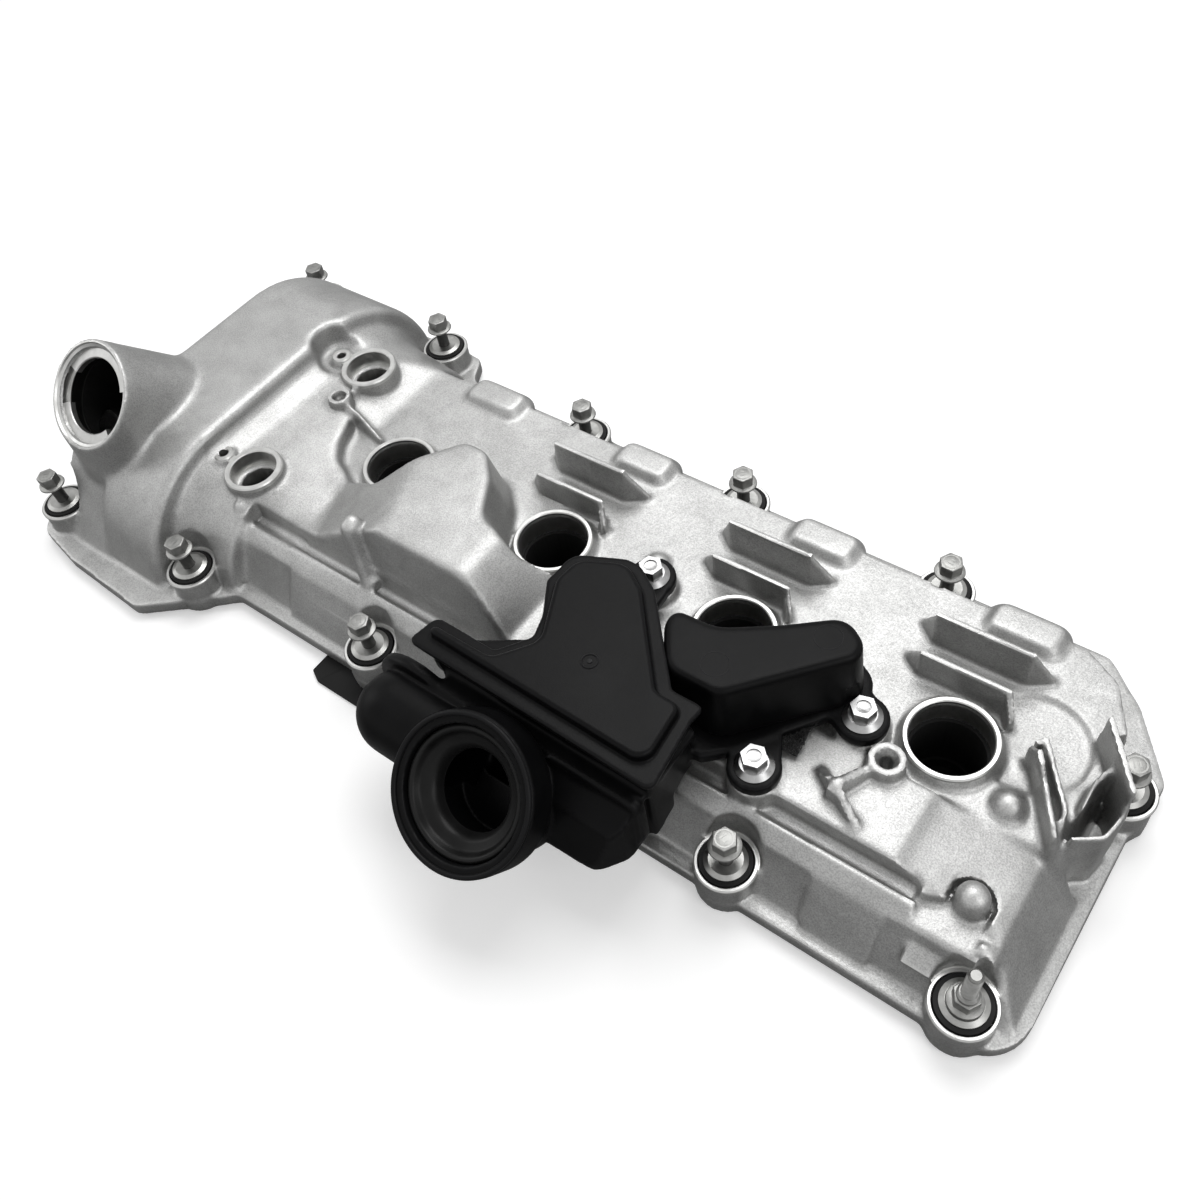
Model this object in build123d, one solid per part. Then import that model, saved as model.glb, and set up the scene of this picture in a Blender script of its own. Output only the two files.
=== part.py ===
from build123d import *
import math
import os

os.makedirs("parts", exist_ok=True)

# Cast rocker cover for one bank of a V8. X runs along the bank, away from the timing end,
# Y points to the far row of bolts, Z up. Z = 0 is the underside of the gasket, and the
# first coil well stands on the Z axis.

# bores of the bank
cylinder_count = 4
bore_pitch = 105.5

# flange and gasket
gasket_proud = 1.5
gasket_width = 5.0
gasket_groove_depth = 3.0
gasket_inset = 4.5
gasket_land = 2.5
flange_thickness = 8.5
wall = 3.5
flange_front_y = -96.5
flange_back_y = 101.0
timing_front_y = -133.5
timing_back_y = 119.5
timing_end_x = -197.0
far_end_x = 396.5

# barrels round the two camshafts at the timing end
front_cam_y = -47.0
back_cam_y = 46.0
cam_axis_z = 5.0
phaser_radius = 70.0
phaser_top_z = 72.0
phaser_start_x = -158.0
phaser_end_x = -89.0
phaser_rounding = 4.5
phaser_cove = 11.0
valve_deck_high_z = 58.0
valve_deck_low_z = 50.0
valve_deck_low_x = -16.0
valve_front_end_x = -50.0
hump_fall_x = -62.0
hump_foot_x = -36.0
valve_shelf_y = 14.0
end_wall_x = -186.0
end_wall_height = 46.0
cheek_start_x = -177.0
cheek_end_x = -137.0
cheek_front_y = -119.0
cheek_head_y = -93.0
cheek_head_z = 48.0

# rocker housing
deck_z = 44.0
deck_back_y = 74.0
deck_front_y = -20.0
housing_end_x = 376.0
housing_draft = 5.0
housing_start_x = -110.0
plateau_z = 49.0
plateau_front_y = -61.0
plateau_back_y = -25.0
plateau_fall_x = 312.0
plateau_end_x = 368.0
plateau_end_z = 40.0
end_foot_x = 387.0
hip_start_x = 360.0
hip_foot_y = -84.0
dish_place = (344.0, 18.5)
dish_radius = 23.5
dish_depth = 2.0
ledge_z = 38.0
ledge_front_z = 36.6
ledge_lip_y = -68.2
ledge_lip_z = 41.6
ledge_front_y = -77.0
ledge_foot_y = -89.0
ledge_panel_rise = 2.6
ledge_start_x = -60.0
ledge_end_x = 371.0

# swellings over the cam lobes
bump_rise = 5.0

# coil wells
well_rim_z = 50.0
well_rim_radius = 19.1
well_bore_radius = 17.6
well_foot_radius = 22.6
well_wall = 3.8
well_floor_z = 1.5
well_access_radius = 20.5
seal_pocket_radius = 18.6
seal_pocket_z = 36.0
seal_gap = 0.3
seal_bore_radius = 13.9
seal_lip_height = 6.5
seal_sleeve_radius = 16.3
seal_foot_z = 0.0

# raised bay beside the first two wells
bay_top_z = 76.0
bay_draft = 12.0
bay_slope_foot = (-14.5, -44.0)
bay_slope_head = (33.5, -26.0)
bay_slope_turn = 20.0
bay_ramp_start_x = 99.0
bay_ramp_end_x = 127.0

# oil filler neck
filler_rim_x = -148.0
filler_rim_y = -73.2
filler_rim_z = 93.4
filler_tilt = 42.5
filler_outer_radius = 30.0
filler_seat_radius = 26.3
filler_seat_depth = 4.0
filler_shelf_radius = 20.5
filler_shelf_thickness = 3.0
filler_throat_radius = 23.6
filler_notch_width = 10.0
filler_notch_angles = (35, 155, 275)

# cam timing valve holes
valve_rim_z = 59.5
valve_outer_radius = 15.8
valve_bore_radius = 12.6
valve_throat_radius = 9.4
valve_step_depth = 9.0
valve_x = -60.5
valve_screw_radius = 6.2
valve_screw_hole_radius = 2.6
valve_screw_depth = 14.0
valve_pocket_radius = 14.0
valve_pocket_z = 55.5

# cover bolts, their washers and rubber grommets
boss_radius = 13.6
flange_lobe = 0.6
boss_cup_radius = 11.8
boss_rim_z = 23.3
boss_floor_z = 13.0
boss_hole_radius = 5.2
tool_clearance = 14.6
grommet_gap = 0.3
grommet_bore_radius = 3.9
grommet_top_z = 24.2
grommet_sleeve_radius = 4.9
washer_radius = 9.6
washer_thickness = 1.8
washer_rim = 0.8
shoulder_radius = 3.35
shoulder_clearance = 0.08
thread_radius = 2.95
thread_length = 12.0
head_across_flats = 10.0
head_height = 6.2
head_flange_radius = 7.3
head_flange_thickness = 1.6
bolt_raise = 12.0
bolt_tip_z = 0.4
stud_raise = 1.0
stud_top_length = 20.0
stud_thread_radius = 2.95

# breather of black plastic
vent_place = (222.0, -40.0)
vent_radius = 9.0
breather_seat_gap = 1.0
breather_wall = 2.8
breather_lid_z = 88.0
breather_lid_thickness = 3.2
breather_lid_dome = 5.0
breather_seam_z = 72.0
breather_seam_thickness = 3.0
breather_chamber_floor_z = 34.0
breather_rear_seam_z = 56.5
breather_rear_top_z = 88.0
breather_inset = 4.5
port_x = 166.9
port_y = -137.9
port_z = 68.2
port_tilt = 40.9
port_outer_radius = 35.0
port_step_radius = 29.0
port_bore_radius = 22.0
port_bore_depth = 33.0
box_end_x = 230.0
seam_flange_y = -100.0
elbow_x = 110.0
elbow_y = -117.0
elbow_z = 53.0
elbow_radius = 20.0
elbow_wall = 3.0
collar_width = 4.5
port_seal_bore_radius = 14.5
port_depth = 17.0
ear_radius = 11.6
ear_thickness = 6.0
ear_sleeve_radius = 5.2
ear_sleeve_wall = 1.6
breather_screw_radius = 3.0
breather_screw_length = 20.0
breather_head_across_flats = 10.0
breather_head_height = 6.0
breather_head_flange_radius = 8.6

flange_z = gasket_proud + flange_thickness
bolt_seat_z = grommet_top_z + washer_thickness
bolt_head_top = bolt_seat_z + bolt_raise + head_flange_thickness + head_height
wells = [(i * bore_pitch, 0.0) for i in range(cylinder_count)]
last_well_x = (cylinder_count - 1) * bore_pitch

# bolt places round the flange: near row, far end, far row and timing corners
bolt_places = [
    (-181.0, -108.0),
    (-73.5, -101.7),
    (50.6, -87.2),
    (156.1, -87.2),
    (260.8, -87.2),
    (382.6, 30.0),
    (275.0, 88.0),
    (161.0, 88.0),
    (56.8, 88.0),
    (-67.3, 106.0),
    (-176.5, 106.3),
]
stud_place = (366.8, -87.0)
all_places = bolt_places + [stud_place]
lobe_places = bolt_places[:5] + [stud_place]


def outline(points, radii):
    """Closed face with a rounded corner at each point."""
    return make_face(FilletPolyline(*points, radius=radii, close=True))


def prism(points, radii, low, high, taper=0.0):
    """Upright prism on a rounded outline."""
    return Pos(0, 0, low) * extrude(outline(points, radii), amount=high - low, taper=taper)


def side_prism(points, radii, x_low, x_high):
    """Prism along X on a rounded outline given in Y and Z."""
    return extrude(Plane.YZ.offset(x_low) * outline(points, radii), amount=x_high - x_low)


def post(x, y, radius, low, high):
    """Upright cylinder between two heights."""
    return Pos(x, y, (low + high) / 2) * Cylinder(radius, high - low)


def cone_post(x, y, low_radius, high_radius, low, high):
    """Upright cone between two heights."""
    return Pos(x, y, (low + high) / 2) * Cone(low_radius, high_radius, high - low)


def slab(start, end, thickness, low, high):
    """Thin upright wall between two points in plan."""
    length = math.dist(start, end)
    angle = math.degrees(math.atan2(end[1] - start[1], end[0] - start[0]))
    middle = ((start[0] + end[0]) / 2, (start[1] + end[1]) / 2)
    plate = Box(length, thickness, high - low)
    return Pos(middle[0], middle[1], (low + high) / 2) * Rot(0, 0, angle) * plate


def box_between(x_range, y_range, z_range):
    """Box given by its ranges."""
    size = [high - low for low, high in (x_range, y_range, z_range)]
    centre = [(high + low) / 2 for low, high in (x_range, y_range, z_range)]
    return Pos(*centre) * Box(*size)


def ridge_edges(solid, x):
    """Edges lying in the plane at one X."""
    return solid.edges().filter_by_position(Axis.X, x - 0.01, x + 0.01)


# flange outline and the gasket's run

flange_points = [
    (timing_end_x, timing_back_y, 12.0),
    (timing_end_x, -124.0, 15.0),
    (-157.0, -131.0, 9.0),
    (-94.5, timing_front_y, 9.0),
    (-56.0, -103.0, 6.0),
    (-49.0, flange_front_y, 6.0),
    (far_end_x - 5.0, flange_front_y, 21.0),
    (far_end_x - 4.0, 19.0, 4.0),
    (far_end_x, 26.0, 4.0),
    (far_end_x, 50.0, 9.0),
    (374.3, 81.5, 22.0),
    (353.0, flange_back_y, 9.0),
    (-43.0, flange_back_y, 8.0),
    (-52.0, timing_back_y, 8.0),
]
gasket_front_y = flange_front_y + gasket_inset
bolt_pass = 9.3
gasket_points = [
    (timing_end_x + 5.5, 94.0, 5.0),
    (timing_end_x + 5.5, -97.5, 5.0),
    (-171.5, -98.0, 6.0),
    (-169.5, -124.0, 6.0),
    (-97.0, -128.0, 6.0),
    (-84.0, -92.4, 6.0),
]
for x, y in bolt_places[2:5]:
    gasket_points += [
        (x - 16.0, gasket_front_y, 5.0),
        (x - 9.0, y + bolt_pass, 5.0),
        (x + 9.0, y + bolt_pass, 5.0),
        (x + 16.0, gasket_front_y, 5.0),
    ]
far_run_x = far_end_x - 9.6
gasket_points += [
    (stud_place[0] - 15.0, gasket_front_y, 5.0),
    (stud_place[0] - 8.0, stud_place[1] + bolt_pass, 5.0),
    (far_run_x, stud_place[1] + 13.0, 5.0),
    (far_run_x, 15.5, 5.0),
    (373.0, 22.0, 5.0),
    (373.0, 40.0, 5.0),
    (385.0, 50.0, 5.0),
    (368.0, 77.0, 8.0),
    (350.0, 93.0, 6.0),
    (288.0, 95.0, 5.0),
    (281.0, 78.6, 5.0),
    (-24.0, 78.8, 5.0),
    (-27.0, 96.2, 5.0),
    (-92.0, 96.8, 5.0),
    (-96.0, 115.0, 5.0),
    (-163.0, 115.2, 5.0),
    (-168.0, 95.0, 6.0),
]


def rounded(points):
    """Closed face from places that carry their own corner radius."""
    return outline([(p[0], p[1]) for p in points], [p[2] for p in points])


flange_face = rounded(flange_points)
for x, y in lobe_places:
    flange_face += Pos(x, y) * Circle(boss_radius + flange_lobe)
gasket_line = rounded(gasket_points)
gasket_outer = offset(gasket_line, amount=gasket_width / 2)
gasket_inner = offset(gasket_line, amount=-gasket_width / 2)
flange_opening = offset(gasket_line, amount=-gasket_width / 2 - gasket_land)

# casting: full outer bodies and the hollows under them


def barrel_face(x, radius, top, low):
    """Section across both camshafts: flat crown, round shoulders, upright feet."""
    centre_z = top - radius
    front = front_cam_y - radius
    back = back_cam_y + radius
    foot = Polyline((front, centre_z), (front, low), (back, low), (back, centre_z))
    back_arc = CenterArc((back_cam_y, centre_z), radius, 0, 90)
    crown = Line((back_cam_y, top), (front_cam_y, top))
    front_arc = CenterArc((front_cam_y, centre_z), radius, 90, 90)
    return Plane.YZ.offset(x) * make_face(Curve() + [foot, back_arc, crown, front_arc])


def phaser_barrel(inset):
    """Tall barrel over the cam phasers, with a cove down to the valve deck."""
    radius = phaser_radius - inset
    top = phaser_top_z - inset
    low = 1.0 if inset == 0 else -1.0
    start = phaser_start_x + inset
    end = phaser_end_x - inset
    shape = extrude(barrel_face(start, radius, top, low), amount=end - start)
    if inset == 0:
        rim = ridge_edges(shape, end).filter_by(lambda e: e.center().Z > low + 0.1)
        shape = fillet(rim, phaser_rounding)
    cove_top = deck_height(end) + 5.0 - inset
    cove_stations = [
        barrel_face(end - 6.0, cove_top - cam_axis_z + 1.0, cove_top + 1.0, low),
        barrel_face(end, cove_top - cam_axis_z, cove_top, low),
        barrel_face(end + phaser_cove, deck_height(end + phaser_cove) - inset - cam_axis_z,
                    deck_height(end + phaser_cove) - inset, low),
    ]
    return shape + loft(cove_stations, ruled=True)


def deck_height(x):
    """Height of the sloped valve deck at one X."""
    slope = (valve_deck_high_z - valve_deck_low_z) / (phaser_end_x - valve_deck_low_x)
    return valve_deck_low_z + slope * (x - valve_deck_low_x)


def valve_deck(inset):
    """Sloped deck over the cam timing valves, on a barrel that tapers with it."""
    low = 1.0 if inset == 0 else -1.0
    start = phaser_end_x - 20.0
    end = valve_deck_low_x - 4.0 * inset
    faces = []
    for x in (start, end):
        top = deck_height(x) - inset
        faces.append(barrel_face(x, top - cam_axis_z, top, low))
    body = loft(faces, ruled=True)
    front_end = valve_front_end_x - inset
    body -= box_between((front_end, 0.0), (-140.0, plateau_front_y + inset), (-5.0, 80.0))
    fall = [
        (hump_fall_x - inset, 80.0),
        (hump_fall_x - inset, deck_height(hump_fall_x) - inset),
        (hump_foot_x - inset, deck_z - inset),
        (hump_foot_x - inset, -5.0),
        (10.0, -5.0),
        (10.0, 80.0),
    ]
    fall_face = outline(fall, [0.5, 6.0, 3.0, 0.5, 0.5, 0.5])
    body -= extrude(Plane.XZ.offset(-valve_shelf_y + inset) * fall_face, amount=-130.0)
    shelf_points = [
        (-50.0 - inset, 16.0, 2.0),
        (-46.0 - inset, 10.0, 5.0),
        (-40.0 - inset, -5.0, 8.0),
        (-33.0 - inset, -14.0 - inset, 6.0),
        (-20.0, -20.0 - inset, 6.0),
        (-12.0, -26.0 - inset, 4.0),
        (10.0, -26.0 - inset, 2.0),
        (10.0, 16.0, 2.0),
    ]
    shelf = extrude(rounded(shelf_points), amount=90.0)
    if inset == 0:
        return body - shelf
    return body - Pos(0, 0, -5.0) * shelf


def housing(inset):
    """Main box over the valve gear, with drafted walls."""
    points = [
        (housing_start_x, -62.0, 3.0),
        (housing_end_x + 3.0, -62.0, 8.0),
        (housing_end_x + 3.0, 42.0, 12.0),
        (365.0, 67.0, 9.0),
        (347.0, deck_back_y + 3.4, 12.0),
        (housing_start_x, deck_back_y + 3.4, 3.0),
    ]
    face = rounded(points)
    low = cam_axis_z
    if inset > 0:
        face = offset(face, amount=-inset)
        low = -1.0
    height = deck_z - inset - low
    return Pos(0, 0, low) * extrude(face, amount=height, taper=housing_draft)


def ledge(inset):
    """Lower shelf in front of the box, over the front camshaft, with a raised lip."""
    if inset > 0:
        low = cam_axis_z - 6.0
        points = [
            (-50.0, low),
            (-50.0, ledge_z - inset),
            (ledge_lip_y - 2.0, ledge_z - inset),
            (ledge_front_y + inset, ledge_front_z - inset - 1.0),
            (ledge_foot_y + inset, flange_z),
            (ledge_foot_y + inset, low),
        ]
        radii = [0.5, 0.5, 3.0, 3.0, 3.0, 0.5]
    else:
        low = cam_axis_z
        points = [
            (-50.0, low),
            (-50.0, ledge_z),
            (ledge_lip_y + 0.8, ledge_z),
            (ledge_lip_y, ledge_lip_z),
            (ledge_lip_y - 1.4, ledge_lip_z),
            (ledge_front_y, ledge_front_z),
            (ledge_front_y - 1.5, ledge_front_z - 4.0),
            (ledge_foot_y, flange_z),
            (ledge_foot_y, low),
        ]
        radii = [0.5, 0.5, 1.5, 0.3, 0.6, 1.2, 3.0, 3.0, 0.5]
    return side_prism(points, radii, ledge_start_x + inset, ledge_end_x - inset)


def ledge_panel(x_low, x_high):
    """Raised panel on the shelf's sloping face, round at its timing end."""
    points = [
        (ledge_front_y + 3.0, flange_z - 2.0),
        (ledge_front_y + 3.0, ledge_front_z - 0.6),
        (ledge_front_y - 0.8, ledge_front_z - 0.8),
        (ledge_front_y - 3.5 - ledge_panel_rise, ledge_front_z - 10.0),
        (ledge_foot_y - ledge_panel_rise, flange_z),
        (ledge_foot_y - ledge_panel_rise, flange_z - 2.0),
    ]
    panel = side_prism(points, [0.5, 0.5, 2.0, 6.0, 1.0, 0.5], x_low, x_high)
    end = outline(
        [(x_low, flange_z - 3.0), (x_low, 50.0), (x_high, 50.0), (x_high, flange_z - 3.0)],
        [11.0, 11.0, 0.5, 0.5],
    )
    return panel & extrude(Plane.XZ.offset(50.0) * end, amount=60.0)


def plateau(inset):
    """Raised front half of the deck."""
    low = cam_axis_z - (6.0 if inset > 0 else 0.0)
    points = [
        (-45.0 + inset, 20.0),
        (-45.0 + inset, plateau_z - inset),
        (end_foot_x, plateau_z - inset),
        (end_foot_x, low),
        (335.0, low),
        (335.0, 20.0),
    ]
    face = outline(points, [0.5, 3.0, 0.5, 0.5, 0.5, 3.0])
    depth = plateau_back_y - plateau_front_y - 2 * inset
    return extrude(Plane.XZ.offset(-plateau_front_y - inset) * face, amount=-depth)


def end_fall(inset):
    """Space above the falling plateau and beyond the slope that closes the far end."""
    head = inset * 0.35
    plateau_line = [
        (plateau_fall_x, 90.0),
        (plateau_fall_x, plateau_z - inset),
        (plateau_end_x - head, plateau_end_z - inset),
        (end_foot_x - inset, flange_z - head),
        (end_foot_x - inset, -6.0),
        (end_foot_x + 30.0, -6.0),
        (end_foot_x + 30.0, 90.0),
    ]
    deck_line = [
        (plateau_end_x + 2.5 - head, 90.0),
        (plateau_end_x + 2.5 - head, deck_z - inset),
        (end_foot_x - inset, flange_z - head),
        (end_foot_x - inset, -6.0),
        (end_foot_x + 30.0, -6.0),
        (end_foot_x + 30.0, 90.0),
    ]
    low_face = outline(plateau_line, [0.5, 20.0, 7.0, 1.0, 0.5, 0.5, 0.5])
    high_face = outline(deck_line, [0.5, 3.0, 1.0, 0.5, 0.5, 0.5])
    near = extrude(Plane.XZ.offset(100.0) * low_face, amount=-100.0 - plateau_back_y - inset)
    far = extrude(Plane.XZ.offset(1.0 - plateau_back_y) * high_face, amount=-32.0)
    return near + far


def end_hip(inset):
    """Corner where the far end's slope turns to the near side."""
    low = 3.0 if inset == 0 else -1.0
    near_y = hip_foot_y + inset
    points = [
        (near_y, low),
        (near_y, flange_z),
        (near_y + 19.0, plateau_end_z - inset),
        (-20.0, plateau_end_z - inset),
        (-20.0, low),
    ]
    body = side_prism(points, [0.5, 3.0, 6.0, 0.5, 0.5], hip_start_x + inset, end_foot_x)
    return body


def bay(inset):
    """Raised bay in front of the first two wells, sloped at both ends."""
    points = [
        (-60.0, -62.0, 9.0),
        (150.0, -62.0, 9.0),
        (150.0, -18.0, 9.0),
        (88.0, -15.0, 9.0),
        (76.0, 6.0, 12.0),
        (60.0, 22.0, 14.0),
        (39.0, 22.0, 12.0),
        (8.0, -20.0, 9.0),
        (-60.0, -24.0, 9.0),
    ]
    face = rounded(points)
    low = 40.0
    if inset > 0:
        face = offset(face, amount=-inset)
    body = Pos(0, 0, low) * extrude(face, amount=bay_top_z + 4.0 - low, taper=bay_draft)
    if inset > 0:
        body += Pos(0, 0, 30.0) * extrude(face, amount=10.5)
    turn = math.radians(bay_slope_turn)
    along = (math.cos(turn), math.sin(turn))
    foot_s = bay_slope_foot[0] * along[0] + bay_slope_foot[1] * along[1] + inset
    head_s = bay_slope_head[0] * along[0] + bay_slope_head[1] * along[1] + inset * 0.4
    slope = [
        (foot_s - 4.0, 20.0),
        (foot_s - 4.0, plateau_z - 4.0),
        (head_s, bay_top_z - inset),
        (head_s + 200.0, bay_top_z - inset),
        (head_s + 200.0, 20.0),
    ]
    slope_face = outline(slope, [0.5, 1.0, 13.0, 0.5, 0.5])
    slope_plane = Plane(origin=(0, 0, 0), x_dir=(*along, 0), z_dir=(along[1], -along[0], 0))
    body = body & extrude(slope_plane * slope_face, amount=150.0, both=True)
    ramp = [
        (-100.0, 20.0),
        (-100.0, bay_top_z - inset),
        (bay_ramp_start_x - inset * 0.4, bay_top_z - inset),
        (bay_ramp_end_x + 3.0 - inset, plateau_z - 5.0),
        (bay_ramp_end_x + 3.0 - inset, 20.0),
    ]
    ramp_face = outline(ramp, [0.5, 0.5, 12.0, 3.0, 0.5])
    body = body & extrude(Plane.XZ * ramp_face, amount=150.0, both=True)
    well_x, well_y = wells[1]
    scoop = cone_post(well_x, well_y, well_foot_radius + inset, well_foot_radius + 4.5 + inset, plateau_z - 8.0, 90.0)
    return body - scoop


def end_wall(inset):
    """Sloped wall closing the timing end behind the barrels."""
    low = cam_axis_z - (6.0 if inset > 0 else 0.0)
    points = [
        (end_wall_x, -98.0, 18.0),
        (phaser_start_x + 16.0, -98.0, 18.0),
        (phaser_start_x + 16.0, 96.0, 18.0),
        (end_wall_x, 96.0, 18.0),
    ]
    face = rounded(points)
    if inset > 0:
        face = offset(face, amount=-inset)
    height = end_wall_height - inset - low
    return Pos(0, 0, low) * extrude(face, amount=height, taper=14.0)


# filler neck: its tilted tube, and the skirt that drops straight down from the rim
neck_plane = Plane(
    origin=(filler_rim_x, filler_rim_y, filler_rim_z),
    x_dir=(1, 0, 0),
    z_dir=(0, -math.sin(math.radians(filler_tilt)), math.cos(math.radians(filler_tilt))),
)


def neck(radius, length, drop):
    """Tilted tube of the neck with a skirt hanging from its rim."""
    tube = neck_plane * Pos(0, 0, -length / 2) * Cylinder(radius, length)
    rim = neck_plane * Pos(0, 0, -0.5) * Circle(radius)
    skirt = extrude(rim, amount=drop, dir=(0, 0, -1))
    return tube + skirt


def cheek(inset):
    """Leaning flat wall that carries the neck at the timing corner."""
    low = 1.0 if inset == 0 else -1.0
    front = cheek_front_y + inset
    points = [
        (front, low),
        (front, flange_z - 1.0),
        (cheek_head_y + inset * 0.8, cheek_head_z - inset * 0.6),
        (cheek_head_y + 17.0, 66.0 - inset),
        (-60.0, 66.0 - inset),
        (-60.0, low),
    ]
    radii = [0.5, 4.0, 20.0, 6.0, 0.5, 0.5]
    return side_prism(points, radii, cheek_start_x + inset, cheek_end_x + 4.0 - inset)


def cheek_relief(inset):
    """Space in front of the cheek, which the phaser barrel stays out of."""
    points = [
        (-160.0, -5.0),
        (cheek_front_y + inset, -5.0),
        (cheek_front_y + inset, flange_z - 1.0),
        (cheek_head_y + inset * 0.8, cheek_head_z - inset * 0.6),
        (cheek_head_y + 17.0, 66.0 - inset),
        (cheek_head_y + 17.0, 110.0),
        (-160.0, 110.0),
    ]
    radii = [0.5, 0.5, 4.0, 20.0, 1.0, 0.5, 0.5]
    return side_prism(points, radii, -220.0, cheek_end_x + inset)


neck_low = box_between((-200, -100), (-100, 10), (flange_z, 130))
neck_body = neck(filler_outer_radius, 62.0, 70.0) & neck_low

outer_body = phaser_barrel(0) - cheek_relief(0)
outer_parts = [valve_deck(0), cheek(0), end_wall(0), housing(0), ledge(0), plateau(0)]
outer_parts += [end_hip(0), bay(0), neck_body]
for piece in outer_parts:
    outer_body += piece
outer_body -= end_fall(0)
outer_body -= box_between((-230.0, 430.0), (-160.0, 160.0), (-5.0, gasket_proud + 1.0))
outer_body -= cone_post(*dish_place, dish_radius, dish_radius + 1.5, deck_z - dish_depth, deck_z + 1.0)

hollow = phaser_barrel(wall) - cheek_relief(wall)
hollow_parts = [valve_deck(wall), cheek(wall), end_wall(wall), housing(wall), ledge(wall)]
hollow_parts += [plateau(wall), end_hip(wall), bay(wall)]
for piece in hollow_parts:
    hollow += piece
hollow -= end_fall(wall)

# details that stand on the deck


def fin(stops, thickness, foot):
    """Cast rib through points in plan, each with its own top height."""
    rib = Part()
    for (x1, y1, top1), (x2, y2, top2) in zip(stops, stops[1:]):
        length = math.dist((x1, y1), (x2, y2))
        along = ((x2 - x1) / length, (y2 - y1) / length, 0)
        plane = Plane(origin=(x1, y1, foot), x_dir=along, z_dir=(along[1], -along[0], 0))
        panel = Polyline((0, 0), (length, 0), (length, top2 - foot), (0, top1 - foot), close=True)
        rib += extrude(plane * make_face(panel), amount=thickness / 2, both=True)
    for x, y, top in stops[1:-1]:
        rib += post(x, y, thickness / 2, foot, top)
    return rib


def cam_bump(x_low, x_high):
    """Soft swelling that runs over the far edge of the deck, above a cam lobe."""
    points = [
        (x_low - 2.0, 57.0, 9.0),
        (x_high + 2.0, 57.0, 9.0),
        (x_high + 1.0, deck_back_y + 7.5, 9.0),
        (x_low - 1.0, deck_back_y + 7.5, 9.0),
    ]
    pad = Pos(0, 0, deck_z - 2.0) * extrude(rounded(points), amount=bump_rise + 2.0, taper=38.0)
    skirt = Pos(0, 0, 34.0) * extrude(rounded(points), amount=deck_z - 34.0 - 2.0)
    return pad + skirt


def ball_bump(x, y, radius, centre_z, foot):
    """Round-headed cast stud."""
    return Pos(x, y, centre_z) * Sphere(radius) + post(x, y, radius, foot, centre_z)


fin_thickness = 3.0
fin_foot = deck_z - 2.0
details = []
for well_x, well_y in wells[1:]:
    back_fin = [
        (well_x - 37.0, 51.0, deck_z + 3.0),
        (well_x - 28.5, 44.0, deck_z + 21.0),
        (well_x + 13.5, 44.0, deck_z + 22.0),
        (well_x + 23.5, 51.0, deck_z + 2.0),
    ]
    front_fin = [
        (well_x - 35.5, 31.5, deck_z + 3.0),
        (well_x - 26.5, 25.5, deck_z + 17.0),
        (well_x + 12.0, 26.0, deck_z + 17.0),
        (well_x + 17.5, 19.0, deck_z + 6.0),
    ]
    details.append(fin(back_fin, fin_thickness, fin_foot))
    details.append(fin(front_fin, fin_thickness, fin_foot))
    details.append(post(well_x - 6.0, 44.0, 2.0, fin_foot, deck_z + 20.5))
for x_low, x_high in ((-8.0, 31.0), (95.0, 131.0), (200.0, 237.0), (301.0, 338.0)):
    details.append(cam_bump(x_low, x_high))

# ribs round the last well and at the far end
channel_near = [(344.4, 9.5, 56.0), (349.5, 6.3, 61.0), (368.3, -22.8, 58.0), (369.7, -25.1, 50.0)]
channel_far = [(346.0, 13.0, 54.0), (349.0, 16.5, 55.0), (367.5, -9.0, 55.0), (369.5, -24.0, 50.0)]
far_rib = [(366.0, 32.0, 52.0), (367.0, 31.0, 66.0), (385.5, 5.0, 66.0), (387.0, 3.5, 52.0)]
details.append(fin(channel_near, fin_thickness, fin_foot - 6.0))
details.append(fin(channel_far, fin_thickness, fin_foot - 6.0))
details.append(fin(far_rib, fin_thickness, 20.0))
details.append(fin([(376.0, 18.0, 60.0), (372.0, 8.0, 54.0), (372.0, -4.0, 50.0)], 2.4, 20.0))
details.append(fin([(373.0, -16.5, 50.0), (384.0, -9.0, 50.0), (386.5, 3.5, 52.0)], 2.4, 10.0))

surface_details = [piece - hollow for piece in details]
details = surface_details

# threaded boss beside the last well, with its rib and the arrow-shaped web
thread_boss_x = last_well_x - 16.3
thread_boss_y = -26.0
thread_boss_radius = 8.0
thread_boss_z = 56.5
thread_boss_step_radius = 4.6
thread_boss_bore_radius = 3.0
thread_boss_depth = 14.0
details.append(post(thread_boss_x, thread_boss_y, thread_boss_radius, 38.0, thread_boss_z))
arrow_stem = [(thread_boss_x - 4.0, -31.0, 54.5), (289.5, -47.0, 60.0), (288.0, -52.0, 58.5)]
arrow_head = [(278.5, -41.5, 50.5), (285.5, -46.5, 58.5), (293.0, -51.0, 58.5), (304.0, -56.5, 50.0)]
details.append(fin(arrow_stem, 4.2, 46.0))
details.append(fin(arrow_head, 3.8, 46.0))

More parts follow.
